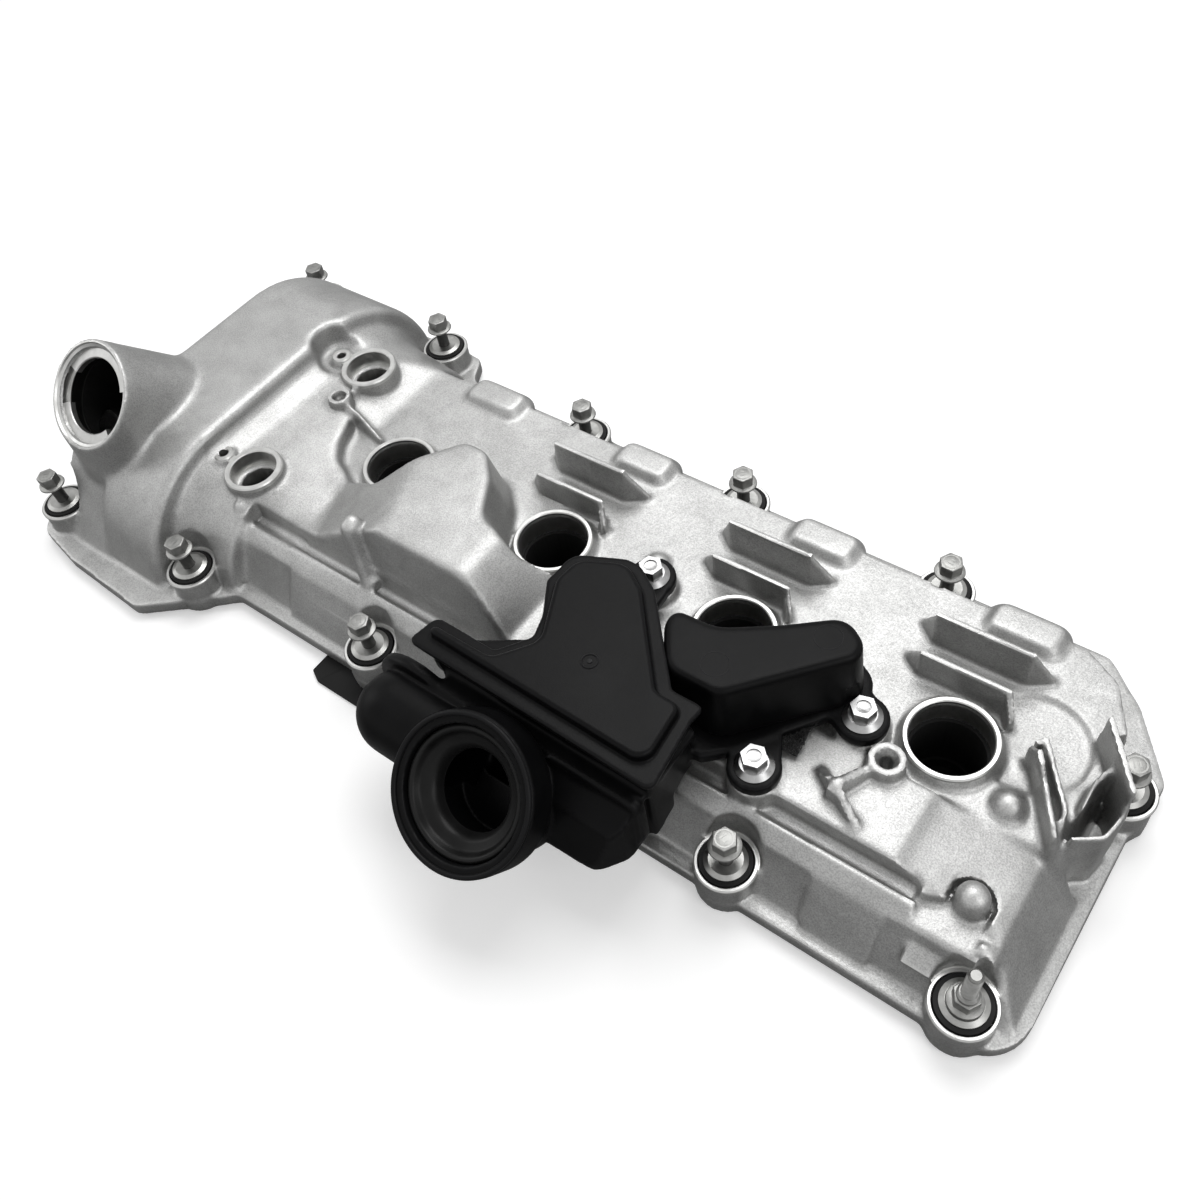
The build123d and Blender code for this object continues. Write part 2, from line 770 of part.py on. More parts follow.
# round-headed studs
details.append(ball_bump(348.0, -13.7, 7.0, 44.5, 30.0))
details.append(ball_bump(353.0, -56.5, 6.8, 45.0, 26.0))
details.append(ball_bump(156.6, 17.2, 6.5, 43.0, 30.0))
rod_top = (26.0, -54.6, 70.5)
rod_foot = (33.0, -60.5, 42.6)
rod_radius = 4.8
rod_length = math.dist(rod_top, rod_foot)
rod_line = [(high - low) / rod_length for low, high in zip(rod_foot, rod_top)]
rod_plane = Plane(origin=rod_foot, x_dir=(rod_line[2], 0, -rod_line[0]), z_dir=rod_line)
rod = rod_plane * Pos(0, 0, rod_length / 2) * Cylinder(rod_radius, rod_length)
rod += Pos(*rod_top) * Sphere(rod_radius)
rod += Pos(*rod_foot) * Sphere(rod_radius + 1.0)
details.append(rod)
details.append(ball_bump(-56.0, -66.0, 4.5, 48.0, 28.0))

# panels and a pad on the shelf's sloping face
details.append(ledge_panel(-12.0, 39.5))
details.append(ledge_panel(296.0, 328.0))
shelf_pad = Box(14.0, 9.0, 8.0)
shelf_pad = fillet(shelf_pad.edges().filter_by(Axis.Y), 2.0)
details.append(Pos(346.0, -81.5, 26.0) * Rot(25, 0, 0) * shelf_pad)

# seats that carry the breather's ears
ear_places = [(164.0, 3.0), (282.5, -13.5), (256.5, -57.0)]
breather_base_z = plateau_z + breather_seat_gap
for x, y in ear_places:
    details.append(post(x, y, ear_radius, 40.0, breather_base_z))
details.append(post(ear_places[2][0], ear_places[2][1] - 3.0, 7.5, 25.0, plateau_z))

# pocket round the ball at the plateau's far corner
ball_pocket = prism(
    [(336.0, -75.0), (336.0, -55.0), (349.0, -45.5), (362.5, -49.0), (362.5, -75.0)],
    [2.0, 8.0, 8.0, 6.0, 2.0],
    ledge_z - 3.0,
    80.0,
)

# holes for the two cam timing valves, each with a screw boss
valve_holes = [(valve_x, front_cam_y - 1.5), (valve_x, back_cam_y - 3.0)]
valve_screws = [(-83.0, -49.2), (-80.5, 41.6)]
for (x, y), (screw_x, screw_y) in zip(valve_holes, valve_screws):
    details.append(post(x, y, valve_outer_radius, 34.0, valve_rim_z))
    details.append(post(screw_x, screw_y, valve_screw_radius, 30.0, valve_rim_z - 1.5))
    details.append(slab((x, y), (screw_x, screw_y), 8.0, 30.0, valve_rim_z - 2.5))
sensor_boss = (-57.5, 16.0)
details.append(post(*sensor_boss, 6.6, 30.0, 60.5))
details.append(fin([(-57.5, 16.0, 59.0), (-42.0, 14.0, 56.0), (-22.0, 9.0, 49.5)], 3.0, 35.0))
details.append(fin([(-57.5, 22.0, 58.0), (-54.0, 36.0, 58.0)], 3.0, 35.0))

# casting

flange_plate = Pos(0, 0, gasket_proud) * extrude(flange_face, amount=flange_thickness)
opening_column = Pos(0, 0, -1.0) * extrude(flange_opening, amount=40.0)
flange_plate -= hollow & opening_column
boss_limit = Pos(0, 0, gasket_proud) * extrude(flange_face, amount=60.0)
bosses = []
recess_walls = []
recesses = []
for x, y in all_places:
    bosses.append(post(x, y, boss_radius, gasket_proud, boss_rim_z) & boss_limit)
    recess_walls.append(post(x, y, tool_clearance + wall, flange_z - 1.0, 80.0) & outer_body)
    recesses.append(post(x, y, tool_clearance, boss_rim_z, 140.0))
    moat = post(x, y, tool_clearance, flange_z, boss_rim_z)
    recesses.append(moat - post(x, y, boss_radius, flange_z, boss_rim_z))
for x, y in wells:
    recess_walls.append(post(x, y, well_access_radius + wall, deck_z - wall, 90.0) & outer_body)
    recesses.append(post(x, y, well_access_radius, well_rim_z, 90.0))
valve_pocket = (valve_screws[1][0] - 2.0, valve_screws[1][1] + 1.5)
recess_walls.append(post(*valve_pocket, valve_pocket_radius + wall, valve_pocket_z - wall, 80.0) & outer_body)
recesses.append(post(*valve_pocket, valve_pocket_radius, valve_pocket_z, 80.0))
pocket_wall = rounded([
    (332.5, -71.5, 2.0),
    (332.5, -53.0, 9.0),
    (348.0, -41.5, 9.0),
    (366.0, -46.0, 7.0),
    (366.0, -71.5, 2.0),
])
recess_walls.append((Pos(0, 0, ledge_z - 3.0 - wall) * extrude(pocket_wall, amount=50.0)) & outer_body)
recesses.append(ball_pocket)
casting = (outer_body - hollow) + [flange_plate] + recess_walls
casting = casting - recesses

additions = bosses + details
for x, y in wells:
    additions.append(post(x, y, well_bore_radius + well_wall, well_floor_z, deck_z - 1.0))
    additions.append(cone_post(x, y, well_foot_radius, well_rim_radius, deck_z - 1.0, well_rim_z))
casting = casting + additions

cuts = []
for x, y in all_places:
    cuts.append(post(x, y, boss_cup_radius, boss_floor_z, boss_rim_z + 1.0))
    cuts.append(post(x, y, boss_hole_radius, 0.0, boss_floor_z + 1.0))
for x, y in wells:
    cuts.append(post(x, y, seal_pocket_radius, 0.0, seal_pocket_z))
    cuts.append(post(x, y, well_bore_radius, 0.0, well_rim_z + 1.0))
    cuts.append(cone_post(x, y, well_bore_radius, well_bore_radius + 1.2, well_rim_z - 2.0, well_rim_z))
for (x, y), (screw_x, screw_y) in zip(valve_holes, valve_screws):
    cuts.append(post(x, y, valve_bore_radius, valve_rim_z - valve_step_depth, valve_rim_z + 8.0))
    cuts.append(post(x, y, valve_throat_radius, 0.0, valve_rim_z))
    cuts.append(post(screw_x, screw_y, valve_screw_hole_radius, valve_rim_z - valve_screw_depth, 75.0))
cuts.append(post(*sensor_boss, 3.8, 56.0, 62.0))
cuts.append(post(*sensor_boss, 2.2, 44.0, 62.0))
boss_bore_low = thread_boss_z - thread_boss_depth
cuts.append(post(thread_boss_x, thread_boss_y, thread_boss_step_radius, thread_boss_z - 3.0, thread_boss_z + 1.0))
cuts.append(post(thread_boss_x, thread_boss_y, thread_boss_bore_radius, boss_bore_low, thread_boss_z))
for x, y in ear_places:
    cuts.append(post(x, y, breather_screw_radius, breather_base_z - breather_screw_length + 4.0, 60.0))
cuts.append(post(*vent_place, vent_radius, 20.0, 60.0))

# mouth of the filler neck: the cap's seat, a notched bayonet shelf and the throat under it
shelf_low = filler_seat_depth + filler_shelf_thickness
cuts.append(neck_plane * Pos(0, 0, -filler_seat_depth / 2 + 1.0) * Cylinder(filler_seat_radius, filler_seat_depth + 2.0))
cuts.append(neck_plane * Pos(0, 0, -shelf_low / 2) * Cylinder(filler_shelf_radius, shelf_low))
throat_length = 70.0
cuts.append(neck_plane * Pos(0, 0, -shelf_low - throat_length / 2) * Cylinder(filler_throat_radius, throat_length))
shelf_column = neck_plane * Pos(0, 0, -shelf_low / 2) * Cylinder(filler_throat_radius, shelf_low)
for angle in filler_notch_angles:
    notch = Rot(0, 0, angle) * Pos(filler_throat_radius - 3.0, 0, 0) * Box(12.0, filler_notch_width, 30.0)
    cuts.append(neck_plane * notch & shelf_column)
cuts.append(Pos(0, 0, gasket_proud) * extrude(gasket_outer - gasket_inner, amount=gasket_groove_depth))
casting = casting - cuts

# rubber parts

gasket_height = gasket_proud + gasket_groove_depth
perimeter_gasket = extrude(gasket_outer - gasket_inner, amount=gasket_height)
tab_points = [
    (18.0, flange_front_y + 3.0, 1.0),
    (18.0, -107.0, 1.5),
    (25.0, -110.5, 2.0),
    (62.0, -110.5, 2.0),
    (66.0, -104.0, 2.0),
    (66.0, flange_front_y + 3.0, 1.0),
]
perimeter_gasket += extrude(rounded(tab_points), amount=gasket_proud)

sleeve_outer_radius = seal_pocket_radius
sleeve_top_z = seal_pocket_z - seal_gap
seal_profile = [
    (seal_bore_radius, seal_foot_z),
    (sleeve_outer_radius - 1.2, seal_foot_z),
    (sleeve_outer_radius, well_floor_z),
    (sleeve_outer_radius, sleeve_top_z),
    (seal_sleeve_radius, sleeve_top_z),
    (seal_sleeve_radius, seal_foot_z + seal_lip_height + 4.0),
    (seal_bore_radius + 1.2, seal_foot_z + seal_lip_height),
    (seal_bore_radius, seal_foot_z + seal_lip_height),
]
seal_ring = revolve(Plane.XZ * make_face(Polyline(*seal_profile, close=True)), Axis.Z)
seals = [Pos(x, y, 0) * seal_ring for x, y in wells]

# bolts with their grommets and washers


def bolt(x, y, raised):
    """Flanged hex bolt with a plain shoulder above its thread."""
    seat = grommet_top_z + washer_thickness + raised
    shoulder_low = bolt_tip_z + thread_length
    body = post(x, y, thread_radius, bolt_tip_z, shoulder_low + 1.0)
    body = chamfer(body.edges().sort_by(Axis.Z)[0], 0.8)
    body += post(x, y, shoulder_radius, shoulder_low, seat)
    body += cone_post(x, y, head_flange_radius, head_flange_radius - 0.8, seat, seat + head_flange_thickness)
    head = extrude(RegularPolygon(head_across_flats / 2, 6, major_radius=False), amount=head_height)
    crown = cone_post(0, 0, 12.0, head_across_flats / 2 - 0.3, head_height - 4.2, head_height)
    head = head & (crown + post(0, 0, 12.0, 0.0, head_height - 4.2))
    return body + Pos(x, y, seat + head_flange_thickness - 0.2) * head


def stud(x, y, raised):
    """Stud bolt: hex in the middle and a second thread above it."""
    seat = grommet_top_z + washer_thickness + raised
    body = bolt(x, y, raised) + post(x, y, 4.4, seat, seat + head_height + 4.0)
    tip = seat + head_height + 3.0 + stud_top_length
    top = post(x, y, stud_thread_radius, seat, tip)
    return body + chamfer(top.edges().sort_by(Axis.Z)[-1], 0.9)


def grommet(x, y):
    """Rubber bush that sits in the boss and carries the washer."""
    body = post(x, y, boss_cup_radius - grommet_gap, boss_floor_z, grommet_top_z)
    body += post(x, y, grommet_sleeve_radius, gasket_proud + 1.5, boss_floor_z)
    groove = post(x, y, boss_cup_radius, boss_floor_z + 6.0, boss_floor_z + 8.0)
    body -= groove - post(x, y, boss_cup_radius - grommet_gap - 1.0, boss_floor_z + 6.0, boss_floor_z + 8.0)
    return body - post(x, y, grommet_bore_radius, 0.0, grommet_top_z + 1.0)


def washer(x, y):
    """Steel washer with a coned face."""
    bore = shoulder_radius + shoulder_clearance
    top = grommet_top_z + washer_thickness
    profile = [
        (bore, grommet_top_z),
        (washer_radius, grommet_top_z),
        (washer_radius, grommet_top_z + washer_rim),
        (head_flange_radius + 0.2, top),
        (bore, top),
    ]
    ring = revolve(Plane.XZ * make_face(Polyline(*profile, close=True)), Axis.Z)
    return Pos(x, y, 0) * ring


# breather

lid_points = [
    (142.0, -42.0, 3.0),
    (143.0, -24.0, 9.0),
    (170.0, -12.0, 14.0),
    (186.0, -22.0, 10.0),
    (220.5, -60.0, 4.0),
    (236.0, -60.0, 2.5),
    (235.0, -68.0, 8.0),
    (239.0, -102.0, 4.0),
    (109.5, -98.8, 3.0),
    (112.5, -82.5, 5.0),
    (145.5, -83.0, 3.0),
    (155.5, -69.0, 4.0),
    (152.0, -58.0, 8.0),
]
lid_face = rounded(lid_points)
chamber_face = offset(lid_face, amount=-breather_inset)
chamber_hollow = offset(lid_face, amount=-breather_inset - breather_wall)
lid_seat_z = breather_lid_z - breather_lid_thickness
deck_zone = box_between((90, 300), (plateau_front_y - 1.0, 40), (breather_base_z, 120))
front_zone = box_between((90, 300), (-200, plateau_front_y - 1.0), (breather_chamber_floor_z, 120))
box_floor_high = ledge_lip_z + 1.4
ledge_relief = box_between((90, 300), (ledge_front_y - 3.5, plateau_front_y + 0.5), (0, box_floor_high))
front_zone -= ledge_relief
chamber = Pos(0, 0, 20.0) * extrude(chamber_face, amount=lid_seat_z - 20.0)
chamber = (chamber & deck_zone) + (chamber & (front_zone - box_between((90, 150), (-200, -40), (0, 64))))

front_box = prism(
    [(148.0, -66.0), (box_end_x, -66.0), (box_end_x + 0.5, -112.0), (box_end_x - 8.5, -125.0), (148.0, -126.0)],
    [3.0, 3.0, 9.0, 9.0, 12.0],
    breather_chamber_floor_z,
    breather_seam_z - 1.0,
)
box_side = [
    (-60.0, breather_chamber_floor_z - 1.0),
    (-60.0, breather_seam_z),
    (-104.0, breather_seam_z),
    (-105.5, 67.0),
    (-117.5, 59.0),
    (-125.5, breather_chamber_floor_z + 2.0),
    (-125.5, breather_chamber_floor_z - 1.0),
]
front_box = front_box & side_prism(box_side, [0.5, 0.5, 0.5, 1.0, 3.0, 2.0, 0.5], 140.0, 260.0)
front_box -= ledge_relief
seam_points = [
    (150.0, -60.5, 3.0),
    (box_end_x + 3.5, -63.0, 3.0),
    (box_end_x + 3.0, seam_flange_y - 1.0, 1.0),
    (130.0, seam_flange_y - 1.0, 6.0),
    (122.0, -96.0, 3.0),
    (110.0, -91.5, 3.0),
    (112.5, -84.0, 3.0),
]
seam_band = Pos(0, 0, breather_seam_z - breather_seam_thickness) * extrude(
    rounded(seam_points), amount=breather_seam_thickness
)
elbow_place = Pos(elbow_x, elbow_y, elbow_z)
elbow = elbow_place * Sphere(elbow_radius)
elbow += Pos(elbow_x + 20.0, elbow_y, elbow_z) * Rot(0, 90, 0) * Cylinder(elbow_radius, 40.0)
flange_face = Pos(elbow_x + 2.0, elbow_z - 1.0) * Circle(elbow_radius + collar_width) + outline(
    [
        (elbow_x + 2.0, breather_chamber_floor_z + 2.0),
        (elbow_x + 2.0, breather_seam_z),
        (box_end_x + 3.5, breather_seam_z),
        (box_end_x + 3.5, breather_chamber_floor_z + 2.0),
    ],
    [0.5, 0.5, 7.0, 9.0],
)
seam_flange = extrude(Plane.XZ.offset(-seam_flange_y) * flange_face, amount=1.6)
seam_flange += extrude(Plane.XZ.offset(1.5 - seam_flange_y) * offset(flange_face, amount=-0.9), amount=1.1)
seam_flange += extrude(Plane.XZ.offset(2.4 - seam_flange_y) * flange_face, amount=3.6)
port_plane = Plane(
    origin=(port_x, port_y, port_z),
    x_dir=(1, 0, 0),
    z_dir=(0, -math.sin(math.radians(port_tilt)), math.cos(math.radians(port_tilt))),
)
port = port_plane * Pos(0, 0, -port_depth / 2) * Cylinder(port_outer_radius, port_depth)
port = fillet(port.edges().filter_by(GeomType.CIRCLE), 1.6)
port += port_plane * Pos(0, 0, -26.0) * Cylinder(port_outer_radius - 4.0, 24.0)

rear_points = [
    (198.0, -25.0, 5.0),
    (219.0, -24.0, 20.0),
    (241.0, -9.0, 20.0),
    (262.0, 8.0, 10.0),
    (279.5, -3.5, 9.0),
    (237.0, -52.5, 10.0),
    (211.0, -52.5, 12.0),
    (199.0, -34.0, 10.0),
]
rear_face = rounded(rear_points)
rear_foot = offset(rear_face, amount=2.2)
rear_height = breather_rear_top_z - breather_rear_seam_z
rear_cover = Pos(0, 0, breather_rear_seam_z) * extrude(rear_foot, amount=rear_height, taper=4.0)
rear_cover = fillet(rear_cover.faces().sort_by(Axis.Z)[-1].edges(), 3.0)
rear_room = offset(rear_face, amount=-breather_wall)
rear_cover -= Pos(0, 0, breather_rear_seam_z - 1.0) * extrude(rear_room, amount=rear_height - breather_wall + 1.0)
base_points = [
    (200.0, -24.0, 3.0),
    (221.0, -21.5, 18.0),
    (243.0, -5.0, 16.0),
    (262.0, 15.0, 12.0),
    (284.0, 2.0, 11.0),
    (268.0, -25.0, 20.0),
    (244.0, -58.0, 6.0),
    (236.0, -66.0, 3.0),
    (200.0, -66.0, 3.0),
]
base_face = rounded(base_points)
base_plate = Pos(0, 0, breather_base_z) * extrude(base_face, amount=breather_rear_seam_z - breather_base_z)
ears = []
for x, y, inner_x, inner_y in (
    (ear_places[0][0], ear_places[0][1], 166.0, -22.0),
    (ear_places[1][0], ear_places[1][1], 262.0, -5.0),
    (ear_places[2][0], ear_places[2][1], 246.0, -38.0),
):
    ears.append(post(x, y, ear_radius, breather_base_z, breather_base_z + ear_thickness))
    ears.append(slab((x, y), (inner_x, inner_y), 2 * ear_radius - 1.0, breather_base_z, breather_base_z + ear_thickness))

breather_body = chamber + [front_box, seam_band, seam_flange, elbow, port, base_plate] + ears
room_deck = Pos(0, 0, breather_base_z + breather_wall) * extrude(chamber_hollow, amount=60.0)
room_deck = room_deck & box_between((90, 300), (plateau_front_y + 2.0, 40), (0, 130))
room_front = prism(
    [(152.0, -64.0), (box_end_x - 3.0, -64.0), (box_end_x - 3.0, -100.0), (152.0, -100.0)],
    [2.0, 2.0, 6.0, 6.0],
    box_floor_high + breather_wall,
    breather_seam_z - breather_seam_thickness - 1.0,
)
room_low = prism(
    [(152.0, -83.5), (box_end_x - 3.0, -83.5), (box_end_x - 3.0, -109.0), (box_end_x - 11.0, -115.5), (152.0, -115.5)],
    [0.5, 0.5, 6.0, 6.0, 6.0],
    breather_chamber_floor_z + breather_wall,
    55.0,
)
room_front += room_low
hidden_bolt = bolt_places[3]
pocket_top = bolt_head_top + 3.0
room_front -= post(*hidden_bolt, head_flange_radius + 2.5 + breather_wall, 0.0, pocket_top + breather_wall)
room_top = Pos(0, 0, breather_seam_z - 5.0) * extrude(chamber_hollow, amount=60.0)
port_room = port_plane * Pos(0, 0, -port_depth / 2 + 5.0) * Cylinder(port_step_radius, port_depth)
port_room += port_plane * Pos(0, 0, -port_bore_depth / 2) * Cylinder(port_bore_radius, port_bore_depth)
elbow_room = elbow_place * Sphere(elbow_radius - elbow_wall)
elbow_room += Pos(elbow_x + 22.0, elbow_y, elbow_z) * Rot(0, 90, 0) * Cylinder(elbow_radius - elbow_wall, 44.0)
breather_cuts = [room_deck, room_front, room_top, port_room, elbow_room]
breather_cuts.append(post(*hidden_bolt, head_flange_radius + 2.5, 0.0, pocket_top))
breather_cuts.append(Pos(0, 0, breather_base_z + breather_wall) * extrude(rear_room, amount=30.0))
breather_cuts.append(post(*vent_place, vent_radius, 30.0, 60.0))
ear_top = breather_base_z + ear_thickness
for x, y in ear_places:
    breather_cuts.append(post(x, y, ear_sleeve_radius, breather_base_z - 1.0, ear_top + 1.0))
    breather_cuts.append(post(x, y, breather_head_flange_radius + 0.6, ear_top, ear_top + 30.0))
breather_body = breather_body - breather_cuts

breather_lid = Pos(0, 0, lid_seat_z) * extrude(lid_face, amount=breather_lid_thickness)
dome_points = [
    (148.0, -42.0, 8.0),
    (149.5, -28.0, 9.0),
    (170.0, -18.5, 11.0),
    (183.0, -27.0, 9.0),
    (217.0, -66.0, 6.0),
    (229.5, -66.5, 4.5),
    (232.0, -95.5, 7.0),
    (116.0, -92.5, 1.8),
    (118.5, -88.4, 1.8),
    (149.0, -88.4, 8.0),
    (162.0, -71.0, 8.0),
]
dome = Pos(0, 0, breather_lid_z - 1.0) * extrude(rounded(dome_points), amount=breather_lid_dome + 1.0)
breather_lid += fillet(dome.faces().sort_by(Axis.Z)[-1].edges(), 1.7)
lid_room = offset(lid_face, amount=-breather_inset - breather_wall - 1.0)
breather_lid -= Pos(0, 0, lid_seat_z - 1.0) * extrude(lid_room, amount=breather_lid_thickness + breather_lid_dome - 2.0)
for x, y in ear_places:
    rear_cover -= post(x, y, breather_head_flange_radius + 0.6, 40.0, ear_top + 12.0)
rear_cover -= breather_lid
rear_cover -= Pos(0, 0, 40.0) * extrude(chamber_face, amount=60.0)

port_seal = port_plane * Pos(0, 0, -port_depth / 2 + 2.0) * Cylinder(port_step_radius, port_depth - 8.0)
port_seal -= port_plane * Pos(0, 0, 0.0) * Cylinder(port_seal_bore_radius + 3.0, 60.0)
port_seal -= port_plane * Pos(0, 0, -port_depth / 2 + 8.0) * Cylinder(port_step_radius - 4.0, port_depth - 9.0)

vent_gasket = post(*vent_place, vent_radius + 6.0, plateau_z, breather_base_z)
vent_gasket -= post(*vent_place, vent_radius + 1.0, plateau_z - 1.0, breather_base_z + 1.0)

ear_sleeves = []
breather_screws = []
sleeve_top = breather_base_z + ear_thickness + 0.4
for x, y in ear_places:
    sleeve = post(x, y, ear_sleeve_radius, breather_base_z, sleeve_top)
    ear_sleeves.append(sleeve - post(x, y, ear_sleeve_radius - ear_sleeve_wall, 0.0, 80.0))
    screw = post(x, y, breather_screw_radius, sleeve_top - breather_screw_length, sleeve_top)
    screw += cone_post(x, y, breather_head_flange_radius, 6.2, sleeve_top, sleeve_top + 2.0)
    head = extrude(RegularPolygon(breather_head_across_flats / 2, 6, major_radius=False), amount=breather_head_height)
    screw += Pos(x, y, sleeve_top + 1.5) * Rot(0, 0, 15) * head
    screw -= post(x, y, 3.2, sleeve_top + breather_head_height + 0.7, sleeve_top + 12.0)
    breather_screws.append(screw)

mesh_points = [
    (240.0, -43.0, 2.0),
    (262.0, -43.0, 1.0),
    (270.0, -34.0, 1.0),
    (264.0, -31.0, 1.0),
    (267.0, -25.0, 1.0),
    (250.0, -20.0, 3.0),
    (240.0, -30.0, 3.0),
]
separator_mesh = Pos(0, 0, plateau_z) * extrude(rounded(mesh_points), amount=breather_seat_gap)

# files

nodes = {
    "cover_casting": casting,
    "perimeter_gasket": perimeter_gasket,
    "breather_body": breather_body,
    "breather_main_lid": breather_lid,
    "breather_rear_cover": rear_cover,
    "breather_port_seal": port_seal,
    "breather_vent_gasket": vent_gasket,
    "separator_mesh": separator_mesh,
}
for i, ring in enumerate(seals):
    nodes[f"plug_tube_seal_{i + 1}"] = ring
for i, (x, y) in enumerate(bolt_places):
    nodes[f"cover_bolt_{i + 1}"] = bolt(x, y, bolt_raise)
nodes["stud_bolt"] = stud(*stud_place, stud_raise)
for i, (x, y) in enumerate(all_places):
    nodes[f"bolt_washer_{i + 1}"] = washer(x, y)
    nodes[f"bolt_grommet_{i + 1}"] = grommet(x, y)
for i, (sleeve, screw) in enumerate(zip(ear_sleeves, breather_screws)):
    nodes[f"breather_sleeve_{i + 1}"] = sleeve
    nodes[f"breather_screw_{i + 1}"] = screw

for name, shape in nodes.items():
    shape.label = name
    export_step(shape, f"parts/{name}.step")
print(len(nodes), "nodes")
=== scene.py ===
import math
import bpy
import bmesh
import numpy as np
from mathutils import Vector, Matrix


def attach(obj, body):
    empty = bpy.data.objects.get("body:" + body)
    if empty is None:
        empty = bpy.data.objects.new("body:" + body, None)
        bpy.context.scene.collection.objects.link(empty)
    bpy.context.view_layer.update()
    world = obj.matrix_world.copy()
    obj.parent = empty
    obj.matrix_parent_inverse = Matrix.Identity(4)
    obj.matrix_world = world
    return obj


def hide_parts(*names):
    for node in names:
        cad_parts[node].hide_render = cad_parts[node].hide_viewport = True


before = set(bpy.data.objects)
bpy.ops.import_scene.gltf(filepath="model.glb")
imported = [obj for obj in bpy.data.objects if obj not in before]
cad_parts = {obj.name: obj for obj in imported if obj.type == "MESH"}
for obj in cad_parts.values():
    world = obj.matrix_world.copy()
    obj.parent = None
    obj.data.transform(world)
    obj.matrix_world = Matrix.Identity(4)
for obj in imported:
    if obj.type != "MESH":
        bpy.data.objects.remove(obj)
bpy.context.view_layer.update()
scene = bpy.context.scene
print("frame loaded:", len(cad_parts), "nodes")

# camera at the photograph's place
cameraView = {"focal": 1112.114, "frame": 1200.0, "sensor": 36.0, "nearest": 0.02,
              "place": (0.37638, -0.24423, 0.46610), "right": (0.80119, 0.58602, -0.12113),
              "ahead": (-0.43431, 0.43018, -0.79140)}
viewRight = Vector(cameraView["right"])
viewAhead = Vector(cameraView["ahead"])
cameraData = bpy.data.cameras.new("photoCamera")
cameraData.sensor_width = cameraView["sensor"]
cameraData.lens = cameraView["focal"] / cameraView["frame"] * cameraView["sensor"]
cameraData.clip_start = cameraView["nearest"]
camera = bpy.data.objects.new("photoCamera", cameraData)
turn = Matrix((viewRight, viewRight.cross(viewAhead), -viewAhead)).transposed().to_4x4()
turn.translation = Vector(cameraView["place"])
camera.matrix_world = turn
scene.collection.objects.link(camera)
scene.camera = camera


def newFinish(name):
    # every finish reads its piece's Object coordinates
    material = bpy.data.materials.new(name)
    material.use_nodes = True
    tree = material.node_tree
    shader = tree.nodes["Principled BSDF"]
    place = tree.nodes.new("ShaderNodeTexCoord")
    return material, tree, shader, place.outputs["Object"]


def noise(tree, place, scale, detail=3.0, roughness=0.55, distortion=0.0):
    node = tree.nodes.new("ShaderNodeTexNoise")
    node.inputs["Scale"].default_value = scale
    node.inputs["Detail"].default_value = detail
    node.inputs["Roughness"].default_value = roughness
    node.inputs["Distortion"].default_value = distortion
    tree.links.new(place, node.inputs["Vector"])
    return node.outputs["Fac"]


def ramp(tree, value, low, high, fromLow=0.3, fromHigh=0.7):
    # maps a value to a plain number range
    node = tree.nodes.new("ShaderNodeMapRange")
    node.inputs["From Min"].default_value = fromLow
    node.inputs["From Max"].default_value = fromHigh
    node.inputs["To Min"].default_value = low
    node.inputs["To Max"].default_value = high
    tree.links.new(value, node.inputs["Value"])
    return node.outputs["Result"]


def blend(tree, value, dark, light):
    node = tree.nodes.new("ShaderNodeMix")
    node.data_type = "RGBA"
    node.inputs["A"].default_value = (*dark, 1)
    node.inputs["B"].default_value = (*light, 1)
    tree.links.new(value, node.inputs["Factor"])
    return node.outputs["Result"]


def bumps(tree, shader, layers):
    # fine reliefs laid over one another: height value and depth in metres
    last = None
    for height, depth in layers:
        node = tree.nodes.new("ShaderNodeBump")
        node.inputs["Strength"].default_value = 1.0
        node.inputs["Distance"].default_value = depth
        tree.links.new(height, node.inputs["Height"])
        if last is not None:
            tree.links.new(last, node.inputs["Normal"])
        last = node.outputs["Normal"]
    tree.links.new(last, shader.inputs["Normal"])


def sharpness(tree, low, high, fromLow, fromHigh):
    node = tree.nodes.new("ShaderNodeNewGeometry")
    return ramp(tree, node.outputs["Pointiness"], low, high, fromLow, fromHigh)


# paler edges by pointiness: edge wear together with a painted highlight along them
def wornAndHighlitEdges(tree):
    return sharpness(tree, 0.0, 0.8, 0.51, 0.60)        # 0 on a flat, 0.8 on an edge


# painted shade: corners and creases darkened by pointiness, where shade would fall
def paintedCornerShade(tree):
    return sharpness(tree, 0.7, 1.0, 0.42, 0.49)        # 0.7 in a corner, 1 elsewhere


def times(tree, first, second):
    node = tree.nodes.new("ShaderNodeMath")
    node.operation = "MULTIPLY"
    tree.links.new(first, node.inputs[0])
    tree.links.new(second, node.inputs[1])
    return node.outputs[0]


def tinted(tree, colour, value):
    # a colour made darker by a number between 0 and 1
    node = tree.nodes.new("ShaderNodeMix")
    node.data_type = "RGBA"
    node.inputs["A"].default_value = (0.02, 0.02, 0.02, 1)
    tree.links.new(colour, node.inputs["B"])
    tree.links.new(value, node.inputs["Factor"])
    return node.outputs["Result"]


def paintedOver(tree, under, colour, amount):
    node = tree.nodes.new("ShaderNodeMix")
    node.data_type = "RGBA"
    node.inputs["B"].default_value = (*colour, 1)
    tree.links.new(under, node.inputs["A"])
    tree.links.new(amount, node.inputs["Factor"])
    return node.outputs["Result"]


# the filler's mouth in millimetres, and the part of its throat given painted shade in metres
fillerTilt = math.radians(42.5)
fillerPlace = Vector((-148.0, -73.2, 93.4))
fillerAxis = Vector((0, -math.sin(fillerTilt), math.cos(fillerTilt)))
throat = {"radius": 0.0246, "depth": -0.0076, "shade": 0.06}


def vectorStep(tree, operation, first, second, result="Vector"):
    node = tree.nodes.new("ShaderNodeVectorMath")
    node.operation = operation
    tree.links.new(first, node.inputs[0])
    if second is not None:
        node.inputs[1].default_value = second
    return node.outputs[result]


